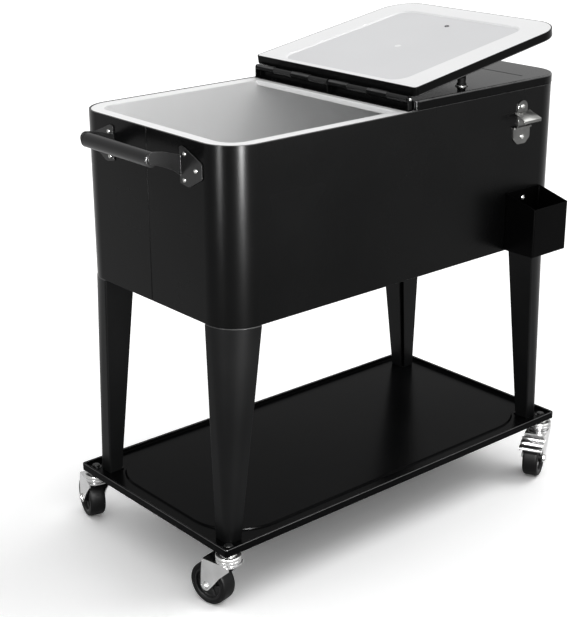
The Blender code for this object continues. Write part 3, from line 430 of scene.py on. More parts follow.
# Painted shade: a darker copy of the opener's steel for its flat faces.
SHADED_PLATE_STEEL = surface(
    "shaded_plate_steel", (0.045, 0.045, 0.044), (0.080, 0.080, 0.078), (0.28, 0.38), STAMPED, cloud=24, metallic=1.0
)
CHROME = surface(
    "bright_plate", (0.38, 0.38, 0.38), (0.48, 0.48, 0.48), (0.14, 0.22), PLATED, cloud=20, metallic=1.0
)
RUBBER = surface(
    "tread_rubber", (0.0040, 0.0040, 0.0043), (0.0070, 0.0070, 0.0073), (0.44, 0.56), TREAD, specular=0.05
)
FOOT_RUBBER = surface(
    "foot_rubber", (0.004, 0.004, 0.0042), (0.007, 0.007, 0.0072), (0.60, 0.72), FOOT, specular=0.03
)
HUB = surface(
    "hub_plastic", (0.0050, 0.0050, 0.0053), (0.0085, 0.0085, 0.0088), (0.34, 0.44), HARD, specular=0.12
)
GRIP = surface(
    "grip_plastic", (0.005, 0.005, 0.0055), (0.008, 0.008, 0.0085), (0.30, 0.38), SMOOTH, specular=0.14
)
BRACKET_COAT = surface(
    "bracket_coat", (0.006, 0.0061, 0.0063), (0.009, 0.0091, 0.0093), (0.26, 0.36), PAINT, specular=0.16
)
NODE_FINISHES = {
    "foam_insulation": INSULATION,
    "right_lid_foam": INSULATION,
    "left_lid_foam": INSULATION,
    "bottom_panel": COAT,
}


def paint_edge_highlight(body, height, low=0.3):
    """Paints a highlight along the upper edge: lighter paint on the faces above a height, neither upright nor
    level.
    """
    mark_faces(body, EDGE_HIGHLIGHT, lambda centre, normal: centre.z > height and low < normal.z < 0.97)


# Small hardware


def add_screw(form, place, radius, high):
    """A domed head along +Z with a cross recess."""
    profile_shares = ((1.0, 0), (1.0, 0.35), (0.9, 0.7), (0.62, 0.95), (0.34, 1.0), (0.30, 1.0))
    narrow_share = 0.45
    loops = [circle(radius * across, high * up, 24) for across, up in profile_shares]
    recess = []
    for index, (x, y, _) in enumerate(loops[-1]):
        share = 1.0 if index % 6 < 2 else narrow_share
        recess.append((x * share, y * share, high * narrow_share))
    fresh = bmesh.new()
    add_stack(fresh, loops + [recess])
    mesh = mesh_of("screw", fresh)
    mesh.transform(place)
    form.from_mesh(mesh)
    bpy.data.meshes.remove(mesh)


def facing(position, normal, spin):
    turn = Vector(normal).to_track_quat("Z", "Y").to_matrix().to_4x4()
    return Matrix.Translation(position) @ turn @ Matrix.Rotation(spin, 4, "Z")


def screws(name, places, material, slot, radius, high):
    """One piece of the tub with a screw head at each (position, outward normal)."""
    form = bmesh.new()
    chance = random.Random(len(name))
    for position, normal in places:
        add_screw(form, facing(position, normal, chance.uniform(0, math.pi)), radius, high)
    dress(soften(link(name, form)), "cooler", material, slot)


# Tub


def inset_outline(inset, corner):
    return centred(HALF_LENGTH - inset, HALF_WIDTH - inset, corner)


def half_path(inset, depth):
    """The shell's plan from seam to seam, with the outer face folded back at the seams."""
    rise = 0.0009
    fold = 0.0008 if inset < SHEET else 0
    outline = inset_outline(inset, TUB_CORNER - inset)
    corners = outline[len(outline) // 2 :]
    first = corners[0][0]
    last = corners[-1][0]
    start = [(first + fold, -GAP), (first, -GAP - rise)]
    end = [(last, -GAP - rise), (last - fold, -GAP)]
    return [(x, -depth * y) for x, y in start + corners + end]


def tub_shell(name, node, depth):
    edge = 0.0011
    rim_edge = 0.0005
    seat = LIP_LOW - GAP
    rounding = edge_round(edge, 3)
    section = [(inset, TUB_TOP - drop) for inset, drop in rounding]
    section += [
        (RIM - rim_edge, TUB_TOP),
        (RIM, TUB_TOP - rim_edge),
        (RIM, seat),
        (FLANGE, seat),
        (FLANGE, seat - SHEET),
        (SHEET, seat - SHEET),
        (SHEET, TUB_BOTTOM + SHEET),
        (FLANGE, TUB_BOTTOM + SHEET),
        (FLANGE, TUB_BOTTOM),
    ]
    section += [(inset, TUB_BOTTOM + drop) for inset, drop in rounding[::-1]]
    paths = [half_path(inset, depth) for inset, _ in section]
    stations = []
    for index in range(len(paths[0])):
        stations.append([(*path[index], height) for path, (_, height) in zip(paths, section)])
    body = soften(stack(name, stations))
    dress(body, "cooler", COAT, "black_coat", node)
    # Painted highlight along the rim's rounded top edge.
    paint_edge_highlight(body, TUB_TOP - edge)


def well_bend(low, inset, corner):
    """Loops up the bend between the well's floor and its walls."""
    bend = 0.012
    return [level(inset_outline(inset + side, corner), low + rise) for rise, side in edge_round(bend, 5)]


def liner_bar(reach):
    half = 0.016
    depth = 0.010
    corner = 0.003
    top = LIP_TOP - 0.0002
    section = rounded(-half, half, top - depth, top, (corner,) * 4, 4)
    return slab_along_y("liner_bar", section, -reach, reach)


def liner():
    wall = 0.003
    well_inset = 0.034
    well_corner = 0.034
    mouth_inset = 0.026
    mouth_edge = 0.0024
    lip_inset = 0.0035
    lip_edge = 0.0012
    lip_reach = 0.023
    bar_root = 0.0015
    drain_hole = 0.010
    lip = [(mouth_inset - side, LIP_TOP - drop) for side, drop in edge_round(mouth_edge, 4)]
    lip += [(lip_inset + side, LIP_TOP - drop) for side, drop in edge_round(lip_edge, 3)[::-1]]
    lip += [(lip_inset, LIP_LOW), (lip_reach, LIP_LOW)]
    loops = well_bend(WELL_FLOOR, well_inset, well_corner)
    loops += [level(inset_outline(inset, TUB_CORNER - inset), height) for inset, height in lip]
    loops += well_bend(WELL_FLOOR - wall, well_inset - wall, well_corner + wall)[::-1]
    body = stack("well_liner", loops)
    combine(body, [liner_bar(HALF_WIDTH - mouth_inset + bar_root)], "UNION")
    hole = turned("drain_cut", ((drain_hole, 0.50), (drain_hole, 0.53)), 32, DRAIN)
    sink = turned("drain_sink", ((drain_hole + 0.001, 0.5162), (drain_hole + 0.006, 0.5175)), 32, DRAIN)
    combine(body, [hole, sink], "DIFFERENCE")
    dress(soften(body), "cooler", WHITE, "white_plastic", "inner_liner")


def drain_spout():
    low = 0.472
    bore = 0.006
    outer = 0.0097
    root = 0.0088
    pitch = 0.0019
    collar = 0.016
    collar_edge = 0.0005
    seat = TUB_BOTTOM + SHEET
    collar_low = seat - 0.003
    profile = [(bore, low), (root, low)]
    for turn in range(7):
        height = low + pitch * turn
        profile += [(outer, height + 0.0006), (outer, height + 0.0009), (root + 0.0001, height + 0.0016)]
    profile += [
        (outer, collar_low),
        (collar - collar_edge, collar_low),
        (collar, collar_low + collar_edge),
        (collar, seat),
        (outer, seat),
        (outer, WELL_FLOOR),
        (bore, WELL_FLOOR),
    ]
    body = soften(turned("drain_spout", profile, 32, DRAIN, ring=True))
    dress(body, "cooler", HUB, "dark_plastic", "drain_fitting")


def drain_cap():
    ribs = 24
    steps = 4 * ribs
    rib_depth = 0.0005
    rows = (
        (0.0103, 0.4710, 0),
        (0.0103, 0.4845, 0),
        (0.0132, 0.4845, rib_depth),
        (0.0138, 0.4838, rib_depth),
        (0.0138, 0.4692, rib_depth),
        (0.0126, 0.4680, rib_depth),
    )
    loops = []
    for radius, height, depth in rows:
        valley = circle(radius - depth, height, steps)
        crest = circle(radius, height, steps)
        loops.append([valley[k] if k % 4 in (2, 3) else crest[k] for k in range(steps)])
    cap = soften(stack("drain_screw_cap", loops, DRAIN), sharp=25)
    dress(cap, "drain_cap", HUB, "dark_plastic", "drain_cap")


# Hinge and lids


def knuckle_spans(which):
    """The y ranges of every other knuckle, between the strip's three ears."""
    long = (2 * HINGE_HALF - 3 * EAR - (KNUCKLES + 2) * KNUCKLE_GAP) / KNUCKLES
    spans = []
    place = -HINGE_HALF + EAR + KNUCKLE_GAP
    for index in range(KNUCKLES):
        if index == KNUCKLES // 2:
            place += EAR + KNUCKLE_GAP
        if index % 2 == which:
            spans.append((place, place + long))
        place += long + KNUCKLE_GAP
    return spans


def hinge():
    low = LIP_TOP + GAP
    strip_half = 0.0055
    strip_thick = 0.0015
    strip_end = HINGE_HALF + 0.002
    ear_root = 0.0045
    ear_radius = 0.00475
    ear_low = low + 0.0007
    chamfer = 0.0008
    far = 0.3
    body = block("hinge_strip", -strip_half, strip_half, -strip_end, strip_end, low, low + strip_thick)
    outline = [(ear_root, ear_low), *arc(0, PIN_HEIGHT, ear_radius, 0, math.pi, 16), (-ear_root, ear_low)]
    starts = (-HINGE_HALF, -EAR / 2, HINGE_HALF - EAR)
    combine(body, [slab_along_y("ear", outline, y, y + EAR) for y in starts], "UNION")
    combine(body, [rod("ear_bore", PIN_RADIUS + GAP, -far, far, 24, z=PIN_HEIGHT)], "DIFFERENCE")
    dress(soften(body, width=0.0002, segments=1), "cooler", COAT, "black_coat", "hinge_bridge")
    profile = ((PIN_RADIUS - chamfer, strip_end), (PIN_RADIUS, strip_end - chamfer))
    profile = [(radius, -y) for radius, y in profile] + list(profile[::-1])
    pin = soften(stack("hinge_rod", rings_along_y(profile, 24, z=PIN_HEIGHT)))
    dress(pin, "cooler", WASHER_STEEL, "steel", "hinge_pin")
    places = [((0, y, low + strip_thick), (0, 0, 1)) for y in (-0.150, -0.075, 0.075, 0.150)]
    screws("hinge_strip_screws", places, COAT, "black_coat", radius=0.0034, high=0.0011)


def lid_place(side):
    turn = Matrix.Rotation(OPEN_ANGLE, 4, "Y") if side < 0 else Matrix.Identity(4)
    return Matrix.Translation((0, SHIFT_Y, PIN_HEIGHT)) @ turn


def lid_outline(inset, hinge_inset, side):
    inner = max(LID_HINGE_CORNER - inset, 0.0022)
    points = rounded(
        LID_FACE + hinge_inset,
        HALF_LENGTH - inset,
        -HALF_WIDTH + inset,
        HALF_WIDTH - inset,
        (LID_CORNER - inset, inner, inner, LID_CORNER - inset),
    )
    return [(side * x, y) for x, y in points]


def lid_knuckles(side, place):
    """The knuckles and the straps that join them to the lid."""
    trim = 0.0002
    strap_low = -0.0052
    strap_high = -0.0029
    near, far = sorted((side * 0.0010, side * 0.0100))
    parts = []
    for low, high in knuckle_spans(0 if side < 0 else 1):
        parts.append(rod("knuckle", KNUCKLE_RADIUS, low, high, 32, place))
        parts.append(block("strap", near, far, low + trim, high - trim, strap_low, strap_high, place))
    return parts


def lid_groove(side, place):
    """The pressed line across the lid's top, wider at its mouth."""
    end = 0.178
    near, far = sorted((side * 0.3005, side * 0.3035))
    loops = []
    for height, grow in ((LID_TOP - 0.0012, -0.0004), (LID_TOP + 0.0010, 0.0006)):
        outline = rounded(near - grow, far + grow, -end - grow, end + grow, (0.0009,) * 4, 4)
        loops.append(level(outline, height))
    return stack("groove", loops, place)


def lid_shell(label, side):
    place = lid_place(side)
    far = 0.4
    hem = ((0.0030, 0.0012), (0.0018, 0.0002), (0.0012, 0), (0.0006, 0.0001), (0, 0.0007))
    hem_inset = hem[0][0]
    loops = [level(lid_outline(hem_inset, hem_inset, side), LID_TOP - 0.0025)]
    loops += [level(lid_outline(inset, inset, side), LID_SKIRT + rise) for inset, rise in hem]
    for inset, drop in edge_round(LID_EDGE, 6):
        loops.append(level(lid_outline(inset, inset * 0.4, side), LID_TOP - drop))
    body = stack(f"{label}_lid_cover", loops, place)
    combine(body, lid_knuckles(side, place), "UNION")
    bore = rod("bore", PIN_RADIUS + 0.0004, -far, far, 24, place)
    combine(body, [bore, lid_groove(side, place)], "DIFFERENCE")
    soften(body, width=0.00015, segments=1, sharp=40)
    dress(body, f"{label}_lid", LID_COAT, "black_coat", f"{label}_lid_shell")
    # Painted highlight: the left lid's knuckles take the lighter copy of the coat, and the right lid's keep
    # the plain coat.
    knuckles = LIT_KNUCKLE_COAT if side < 0 else COAT
    on_knuckle = KNUCKLE_RADIUS + GAP
    mark_faces(body, knuckles, lambda centre, normal: math.hypot(centre.x, centre.z) < on_knuckle)
    # Painted highlight along the lid's rounded top edge.
    paint_edge_highlight(body, LID_TOP - LID_EDGE + 0.0002, 0.35)


def lid_field(shrink, side):
    """The recessed field's outline on the inside of a lid."""
    near = 0.020
    far = 0.344
    half = 0.151
    corner = 0.028
    points = rounded(near + shrink, far - shrink, shrink - half, half - shrink, (corner - shrink,) * 4)
    return [(side * x, y) for x, y in points]


def lid_inside(label, side):
    top = LID_SKIRT + 0.0025
    dish = 0.003
    border = ((0.0033, 0.0025), (0.0033, 0.0016), (0.0026, 0.0007), (0.0022, 0.0003), (0.0026, 0))
    loops = [level(lid_field(0.0022, side), top + dish), level(lid_field(-0.003, side), top)]
    loops += [level(lid_outline(inset, inset, side), LID_SKIRT + rise) for inset, rise in border]
    for step in range(7):
        share = step / 6
        loops.append(level(lid_field(-0.0015 + 0.0045 * share, side), LID_SKIRT + dish * ease(share)))
    body = soften(stack(f"{label}_lid_inside", loops, lid_place(side)), sharp=40)
    dress(body, f"{label}_lid", LID_WHITE, "white_plastic", f"{label}_lid_liner")
    field = LID_SKIRT + dish
    # Painted shade: the field's floor takes the darker copy of the white plastic.
    mark_faces(body, SHADED_FIELD_PLASTIC, lambda centre, normal: abs(centre.z - field) < 0.0002)


def lid_marks(label, side):
    """A dark ring painted in for the shade of the groove round a plug, and the moulding mark, on the inside
    of a lid.
    """
    field = LID_SKIRT + 0.003
    upside_down = Matrix.Rotation(math.pi, 4, "X")
    # Painted shade: a dark plastic ring where the groove round the plug is only in shade.
    ring = (
        (0.0029, -0.0004), (0.0043, -0.0004), (0.0043, 0.0006),
        (0.0040, 0.0009), (0.0032, 0.0009), (0.0029, 0.0006),
    )
    spot = lid_place(side) @ Matrix.Translation((side * 0.300, 0, field)) @ upside_down
    shade_ring = soften(turned(f"{label}_lid_groove_shade_ring", ring, 36, spot, ring=True))
    dress(shade_ring, f"{label}_lid", HUB, "dark_plastic")
    button = ((0.0058, -0.0005), (0.0058, 0.0001), (0.0050, 0.0004), (0.0012, 0.0004), (0.0006, 0.0009))
    spot = lid_place(side) @ Matrix.Translation((side * 0.171, 0, field)) @ upside_down
    mark = soften(turned(f"{label}_lid_gate_mark", button, 32, spot))
    dress(mark, f"{label}_lid", LID_WHITE, "white_plastic")


def bumper(label, side, depth_name, depth):
    """A rubber foot whose end leans with the folded lid, and the washer around it."""
    place = lid_place(side)
    lean = math.tan((math.pi - OPEN_ANGLE) / 2)
    x = side * 0.157
    y = depth * 0.165
    low = LID_TOP + GAP
    rows = (
        (0.0084, 0),
        (0.0085, 0.0006),
        (0.0085, 0.0034),
        (0.0080, 0.0040),
        (0.0077, 0.0044),
        (0.0070, 0.0060),
        (0.0075, 0.0110),
    )
    loops = [circle(radius, low + rise, 36, x, y) for radius, rise in rows]
    for radius, drop in ((0.0075, 0.0006), (0.0068, 0)):
        loops.append([(a, b, abs(a) * lean - GAP / 2 - drop) for a, b, _ in circle(radius, 0, 36, x, y)])
    body = soften(stack(f"{label}_lid_foot_{depth_name}", loops, place), sharp=40)
    dress(body, f"{label}_lid", FOOT_RUBBER, "rubber", f"{label}_lid_bumper_{depth_name}")
    ring = ((0.0088, 0), (0.0112, 0), (0.0112, 0.0011), (0.0104, 0.0015), (0.0088, 0.0015))
    profile = [(radius, low + rise) for radius, rise in ring]
    spot = place @ Matrix.Translation((x, y, 0))
    washer = soften(turned(f"{label}_lid_washer_{depth_name}", profile, 40, spot, ring=True))
    dress(washer, f"{label}_lid", WASHER_STEEL, "chrome")


# Handles


def bracket(label, side, depth_name, depth):
    """The arm, the wall flange and the boss that carries the grip."""
    wall = HALF_LENGTH + GAP
    flange_face = wall + 0.002
    nose = 0.010
    outline = [(wall, 0.717), (wall, 0.750), (wall + 0.018, 0.7555), (wall + 0.034, 0.7605)]
    outline += arc(GRIP_X, GRIP_HEIGHT + 0.003, nose, QUARTER, -QUARTER, 14)
    outline += [(wall + 0.034, 0.7365), (wall + 0.015, 0.7275)]
    outline = [(side * x, z) for x, z in outline]
    low, high = sorted((depth * 0.0900, depth * 0.0930))
    body = slab_along_y(f"{label}_handle_arm_{depth_name}", outline, low, high)
    shape = (
        (0.0905, 0.7065), (0.0905, 0.7630), (0.0950, 0.7650), (0.1010, 0.7640),
        (0.1425, 0.7465), (0.1455, 0.7430), (0.1455, 0.7220), (0.1430, 0.7195),
        (0.1150, 0.7040), (0.1090, 0.7030), (0.0930, 0.7060),
    )
    near, far = sorted((side * wall, side * flange_face))
    flange = slab_along_x("flange", [(depth * y, z) for y, z in shape], near, far)
    inner, outer = sorted((depth * 0.0797, depth * 0.0915))
    boss = rod("boss", 0.0041, inner, outer, 24, x=side * GRIP_X, z=GRIP_HEIGHT)
    combine(body, [flange, boss], "UNION")
    soften(body, width=0.0005)
    dress(body, "cooler", BRACKET_COAT, "black_coat", f"{label}_handle_bracket_{depth_name}")

    def is_edge(centre, normal):
        on_flange = abs(centre.x) < flange_face + 0.0002 and 0.3 < abs(normal.x) < 0.95
        return on_flange or 0.3 < abs(normal.y) < 0.95

    # Painted highlight: lighter paint on the flange's rim and the arm's bevelled edges.
    mark_faces(body, EDGE_HIGHLIGHT, is_edge)
    spots = ((0.1025, 0.7535), (0.1300, 0.7320), (0.1015, 0.7120))
    places = [((side * flange_face, depth * y, z), (side, 0, 0)) for y, z in spots]
    name = f"{label}_handle_screws_{depth_name}"
    screws(name, places, OPENER_STEEL, "steel", radius=0.0036, high=0.0016)


def ferrule(label, side, depth_name, depth):
    """The ring that covers the grip's end."""
    bead = 0.0884
    ends = (
        (0.0120, 0.0860), (0.0120, bead), (0.0116, 0.0892),
        (0.0106, 0.0897), (0.0046, 0.0897), (0.0046, 0.0860),
    )
    spot = TUB @ Matrix.Translation((side * GRIP_X, 0, GRIP_HEIGHT))
    rings = rings_along_y([(radius, depth * y) for radius, y in ends], 40)
    body = soften(stack(f"{label}_handle_ring_{depth_name}", rings, spot, ring=True), sharp=40)
    dress(body, "cooler", BRACKET_COAT, "black_coat")
    # Painted highlight: lighter paint on the ring's outer rim and bead.
    mark_faces(body, EDGE_HIGHLIGHT, lambda centre, normal: abs(normal.y) < 0.95 and abs(centre.y) > bead)


def grip(label, side):
    radius = 0.0119
    bore = 0.0045
    end = 0.0857
    edge = 0.0005
    half = [(bore, end - 0.008), (bore, end), (radius - edge, end), (radius, end - edge)]
    profile = [(reach, -y) for reach, y in half] + half[::-1]
    body = soften(stack(f"{label}_handle_tube", rings_along_y(profile, 40, side * GRIP_X, GRIP_HEIGHT)))
    dress(body, "cooler", GRIP, "dark_plastic", f"{label}_handle_grip")


# Opener and catcher


def opener_hood(x_middle, root, thick):
    """The domed lip of the opener, which leans down and outwards."""
    height = 0.740
    half = 0.020
    flare = 0.0025
    reach = -0.027
    fall = 0.0115
    dome = 0.0022
    tip_bend = 0.0008
    fold = 0.0046
    count = 16
    bow_share = 0.06
    dome_share = 0.9
    loops = []
    for step in range(count + 1):
        across = 2 * step / count - 1
        row = []
        for share in (0, 0.25, 0.5, 0.75, 0.93, 1.0):
            x = x_middle + across * (half + flare * share)
            y = root + reach * share * (1 - bow_share * across * across)
            crown = dome * (1 - across * across) * math.sin(math.pi * dome_share * share)
            drop = fall * share + (tip_bend if share == 1 else 0)
            row.append((x, y, height - drop + crown))
        tip_x, tip_y, tip_z = row[-1]
        lip = [(tip_x, tip_y, tip_z - fold), (tip_x, tip_y + thick, tip_z - fold)]
        under = [(x, y, z - thick) for x, y, z in row[:-1]] + [(tip_x, tip_y + thick, tip_z - thick)]
        loops.append(row + lip + under[::-1])
    return stack("opener_hood", loops)


def opener():
    wall = -HALF_WIDTH - GAP
    thick = 0.002
    face = wall - thick
    root = wall - 0.001
    x_middle = 0.2745
    half = [(0.0085, 0.6813), (0.0125, 0.6828), (0.0205, 0.6905), (0.0215, 0.6935), (0.0215, 0.7120)]
    half += [(0.0100, 0.7120), (0.0100, 0.7395), (0.0125, 0.7395)]
    outline = [(-half[0][0], half[0][1]), *half, *arc(0, 0.7465, 0.0125, 0, math.pi, 18)]
    outline += [(-x, z) for x, z in half[:0:-1]]
    body = slab_along_y("opener_plate", [(x_middle + x, z) for x, z in outline], face, wall)
    tooth = (
        (root, 0.7097),
        (wall - 0.0066, 0.7097),
        (wall - 0.0075, 0.7104),
        (wall - 0.0075, 0.7131),
        (wall - 0.0058, 0.7131),
        (wall - 0.0056, 0.7117),
        (root, 0.7117),
    )
    lip = slab_along_x("opener_lip", tooth, x_middle - 0.0195, x_middle + 0.0195)
    combine(body, [opener_hood(x_middle, root, thick), lip], "UNION")
    soften(body, width=0.0003, segments=1)
    dress(body, "cooler", OPENER_STEEL, "steel", "bottle_opener")
    # Painted shade: the opener's flat faces that point away from the wall take the darker copy of its steel,
    # and the hood keeps the lighter one.
    mark_faces(body, SHADED_PLATE_STEEL, lambda centre, normal: normal.y < -0.95)
    places = [((x_middle + x, face, z), (0, -1, 0)) for x, z in ((-0.0008, 0.7488), (0.0010, 0.6940))]
    screws("opener_screws", places, OPENER_STEEL, "chrome", radius=0.0046, high=0.0022)


def catcher():
    """An open box whose rim falls towards its front."""
    wall = -HALF_WIDTH - GAP
    deep = 0.068
    x_low = 0.243
    x_high = 0.334
    thick = 0.0012
    edge = 0.0003
    corner = 0.003
    bottom = 0.489
    rim = 0.596
    slope = -0.018 / deep
    rows = (
        (0.0032, bottom + thick, 0),
        (thick, bottom + 0.0032, 0),
        (thick, rim - edge, slope),
        (thick - edge, rim, slope),
        (edge, rim, slope),
        (0, rim - edge, slope),
        (0, bottom + 0.0018, 0),
        (0.0006, bottom + 0.0005, 0),
        (0.0018, bottom, 0),
    )
    loops = []
    for inset, height, lean in rows:
        radii = (max(corner - inset, 0.0006),) * 4
        points = rounded(x_low + inset, x_high - inset, wall - deep + inset, wall - inset, radii, 6)
        loops.append([(x, y, height + lean * (wall - y)) for x, y in points])
    body = soften(stack("cap_box", loops), sharp=35)
    dress(body, "cooler", BOX_COAT, "black_coat", "cap_catcher")
    places = [((0.2885, wall - thick, 0.5795), (0, -1, 0))]
    screws("cap_box_screw", places, STEEL, "steel", radius=0.0042, high=0.0016)


# Legs and tray


def leg_section(side, depth, height, inset=0):
    """The leg's plan at a height, between its top and its foot."""
    share = (LEG_TOP - height) / (LEG_TOP - LEG_LOW)
    x, y, long, wide, corner = [high + share * (foot - high) for high, foot in zip(*LEG_PLANS)]
    small = max(0.003 - inset, 0.0008)
    radii = (corner - inset, small, 0.0012, small)
    points = rounded(x - long + inset, x - inset, y - wide + inset, y - inset, radii, 10)
    return level([(side * a, depth * b) for a, b in points], height)


def leg(label, side, depth_name, depth):
    """A folded sheet post, open along its inner edge."""
    sheet = 0.002
    chamfer = 0.0012
    name = f"{depth_name}_{label}"
    levels = ((LEG_LOW, 0), (LEG_TOP - chamfer, 0), (LEG_TOP, chamfer))
    body = stack(f"{name}_post", [leg_section(side, depth, *pair) for pair in levels])
    levels = ((LEG_LOW + sheet, sheet), (LEG_TOP - sheet, sheet))
    hollow = stack("hollow", [leg_section(side, depth, *pair) for pair in levels])
    rows = []
    for height, gap in ((LEG_LOW + sheet, 0.005), (LEG_TOP - sheet, 0.008)):
        x, y, _ = min(leg_section(side, depth, height), key=lambda point: abs(point[0]) + abs(point[1]))
        xs = (x - gap * side, x + gap * side)
        ys = (y - gap * depth, y + gap * depth)
        rows.append(level(((xs[0], ys[0]), (xs[1], ys[0]), (xs[1], ys[1]), (xs[0], ys[1])), height))
    combine(body, [hollow, stack("slot", rows)], "DIFFERENCE")
    soften(body, width=0.0003, segments=1, sharp=40)
    # Painted sheen: the legs take the lighter copy of the coat.
    dress(body, "cooler", LIT_LEG_COAT, "black_coat", f"{name}_leg")
    # Painted highlight along the chamfer at the leg's top.
    paint_edge_highlight(body, LEG_TOP - chamfer - 0.0001)


def tray_loop(inset, height, corner=TRAY_CORNER):
    half_x, half_y = TRAY_HALF
    return level(centred(half_x - inset, half_y - inset, max(corner - inset, 0.0012)), height)


def tray_loops():
    low = 0.1065
    wall = 0.004
    sheet = 0.0015
    edge = 0.0003
    step_wide = 0.003
    field_rise = 0.003
    fold = edge_round(TRAY_EDGE, 4)
    rows = [
        tray_loop(0.0330, TRAY_UNDER + field_rise, TRAY_FIELD_CORNER),
        tray_loop(0.0305, TRAY_UNDER, TRAY_FIELD_CORNER),
        tray_loop(sheet, TRAY_UNDER),
        tray_loop(sheet, low + edge),
        tray_loop(sheet - edge, low),
        tray_loop(edge, low),
        tray_loop(0, low + edge),
    ]
    rows += [tray_loop(side, TRAY_TOP - drop) for side, drop in fold]
    rows += [tray_loop(wall - side, TRAY_TOP - drop) for side, drop in fold[::-1]]
    for inset, rise in ((0.0048, 0.0008), (0.0054, 0.0002), (0.0062, 0)):
        rows.append(tray_loop(inset, TRAY_FLOOR + rise))
    rows.append(tray_loop(0.0285, TRAY_FLOOR, TRAY_FIELD_CORNER))
    for step in range(6):
        share = step / 5
        rise = field_rise * ease(share)
        rows.append(tray_loop(0.029 + step_wide * share, TRAY_FLOOR + rise, TRAY_FIELD_CORNER))
    return rows


def tray():
    body = stack("shelf", tray_loops())
    holes = []
    screw_places = []
    for _, side in SIDES:
        for _, depth in DEPTHS:
            spot = TUB @ Matrix.Translation((side * SWIVEL[0], depth * SWIVEL[1], 0))
            holes.append(turned("hole", ((0.0053, 0.105), (0.0053, 0.121)), 24, spot))
            for x, y in ((0.367, 0.178), (0.380, 0.163)):
                screw_places.append(((side * x, depth * y, TRAY_UNDER), (0, 0, -1)))
    combine(body, holes, "DIFFERENCE")
    soften(body, sharp=40)
    dress(body, "cooler", TRAY_COAT, "black_coat", "shelf_tray")
    # Painted highlight along the tray rim's rounded top edge.
    paint_edge_highlight(body, TRAY_TOP - TRAY_EDGE, 0.2)
    screws("leg_foot_screws", screw_places, STEEL, "steel", radius=0.0034, high=0.0018)


# Casters


def swivel_place(label):
    depth_name, side_name = label.split("_")
    side, depth = dict(SIDES)[side_name], dict(DEPTHS)[depth_name]
    ahead_x, ahead_y = AHEAD[label]
    spot = TUB @ Matrix.Translation((side * SWIVEL[0], depth * SWIVEL[1], 0))
    return spot @ Matrix.Rotation(math.atan2(ahead_y, ahead_x), 4, "Z")


def axle_place(label):
    return swivel_place(label) @ Matrix.Translation((TRAIL, 0, WHEEL_RADIUS))


def caster_stem(label):
    """The stem with its nuts, spacer, upper race and king pin."""
    profile = (
        (0.0032, 0.1173), (0.0046, 0.1173), (0.0046, 0.1168), (0.0062, 0.1168), (0.0070, 0.1160),
        (0.0070, 0.1131), (0.0066, 0.1128), (0.0095, 0.1128), (0.0098, 0.1126), (0.0098, 0.1123),
        (0.0050, 0.1123), (0.0050, 0.1102), (0.0145, 0.1102), (0.0150, 0.1097), (0.0150, 0.1016),
        (0.0158, 0.1010), (0.0196, 0.1008), (0.0212, 0.1001), (0.0220, 0.0988), (0.0220, 0.0952),
        (0.0214, 0.0945), (0.0176, 0.0945), (0.0176, 0.0950), (0.0050, 0.0950), (0.0050, 0.0842),
        (0.0080, 0.0842), (0.0078, 0.0830), (0.0064, 0.0818), (0.0030, 0.0815),
    )
    body = soften(turned(f"{label}_stem", profile, 40, swivel_place(label)))
    dress(body, "cooler", STEEL, "steel", f"{label}_caster_stem")
    mark_faces(body, BRACKET_COAT, lambda centre, normal: centre.z > TRAY_FLOOR)


def caster_fork(label):
    """The yoke with its lower race and two cheeks, bored for the king pin and the axle."""
    place = swivel_place(label)
    boss = 0.0095
    plan = rounded(-0.021, 0.041, -CHEEK[1], CHEEK[1], (0.003, 0.014, 0.014, 0.003), 10)
    body = stack(f"{label}_yoke", [level(plan, 0.0845), level(plan, 0.087)], place)
    race = (
        (0.0200, 0.0855), (0.0200, 0.0880), (0.0206, 0.0888), (0.0218, 0.0894),
        (0.0220, 0.0902), (0.0220, 0.0932), (0.0214, 0.0942),
    )
    outline = [(-0.015, 0.0858), (0.041, 0.0858), (0.0428, 0.072), (0.0444, 0.052)]
    outline += arc(TRAIL, WHEEL_RADIUS, boss, math.radians(5), -math.radians(145), 14)
    outline += [(0.0175, 0.044), (0.0050, 0.060), (-0.0080, 0.0725), (-0.0150, 0.079)]
    parts = [turned("race", race, 40, place)]
    for sign in (-1, 1):
        near, far = sorted((sign * CHEEK[0], sign * CHEEK[1]))
        parts.append(slab_along_y("cheek", outline, near, far, place))
    combine(body, parts, "UNION")
    king = turned("king", ((0.0053, 0.075), (0.0053, 0.12)), 24, place)
    eye = rod("eye", 0.0043, -0.04, 0.04, 24, place, TRAIL, WHEEL_RADIUS)
    combine(body, [king, eye], "DIFFERENCE")
    soften(body, width=0.0006, sharp=40)
    dress(body, f"{label}_fork", CHROME, "chrome", f"{label}_caster_fork")


def caster_wheel(label):
    """A hub with a web and rim, and the tread around it."""
    side = [
        (0.0043, 0.0172), (0.0094, 0.0172), (0.0100, 0.0166), (0.0102, 0.0095), (0.0112, 0.0085),
        (0.0235, 0.0085), (0.0246, 0.0092), (0.0256, 0.0132), (0.0270, 0.0140), (0.0280, 0.0136),
        (0.0286, 0.0138), (0.0296, 0.0146), (0.0340, 0.0148), (0.0358, 0.0141), (0.0369, 0.0126),
        (0.0374, 0.0105), (WHEEL_RADIUS, 0.0070),
    ]
    hub_reach = 0.0283
    rings = rings_along_y([(radius, -y) for radius, y in side] + side[::-1], 64)
    body = soften(stack(f"{label}_tyre", rings, axle_place(label), ring=True), sharp=25)
    dress(body, f"{label}_wheel", RUBBER, "rubber", f"{label}_caster_wheel")
    mark_faces(body, HUB, lambda centre, normal: math.hypot(centre.x, centre.z) < hub_reach)


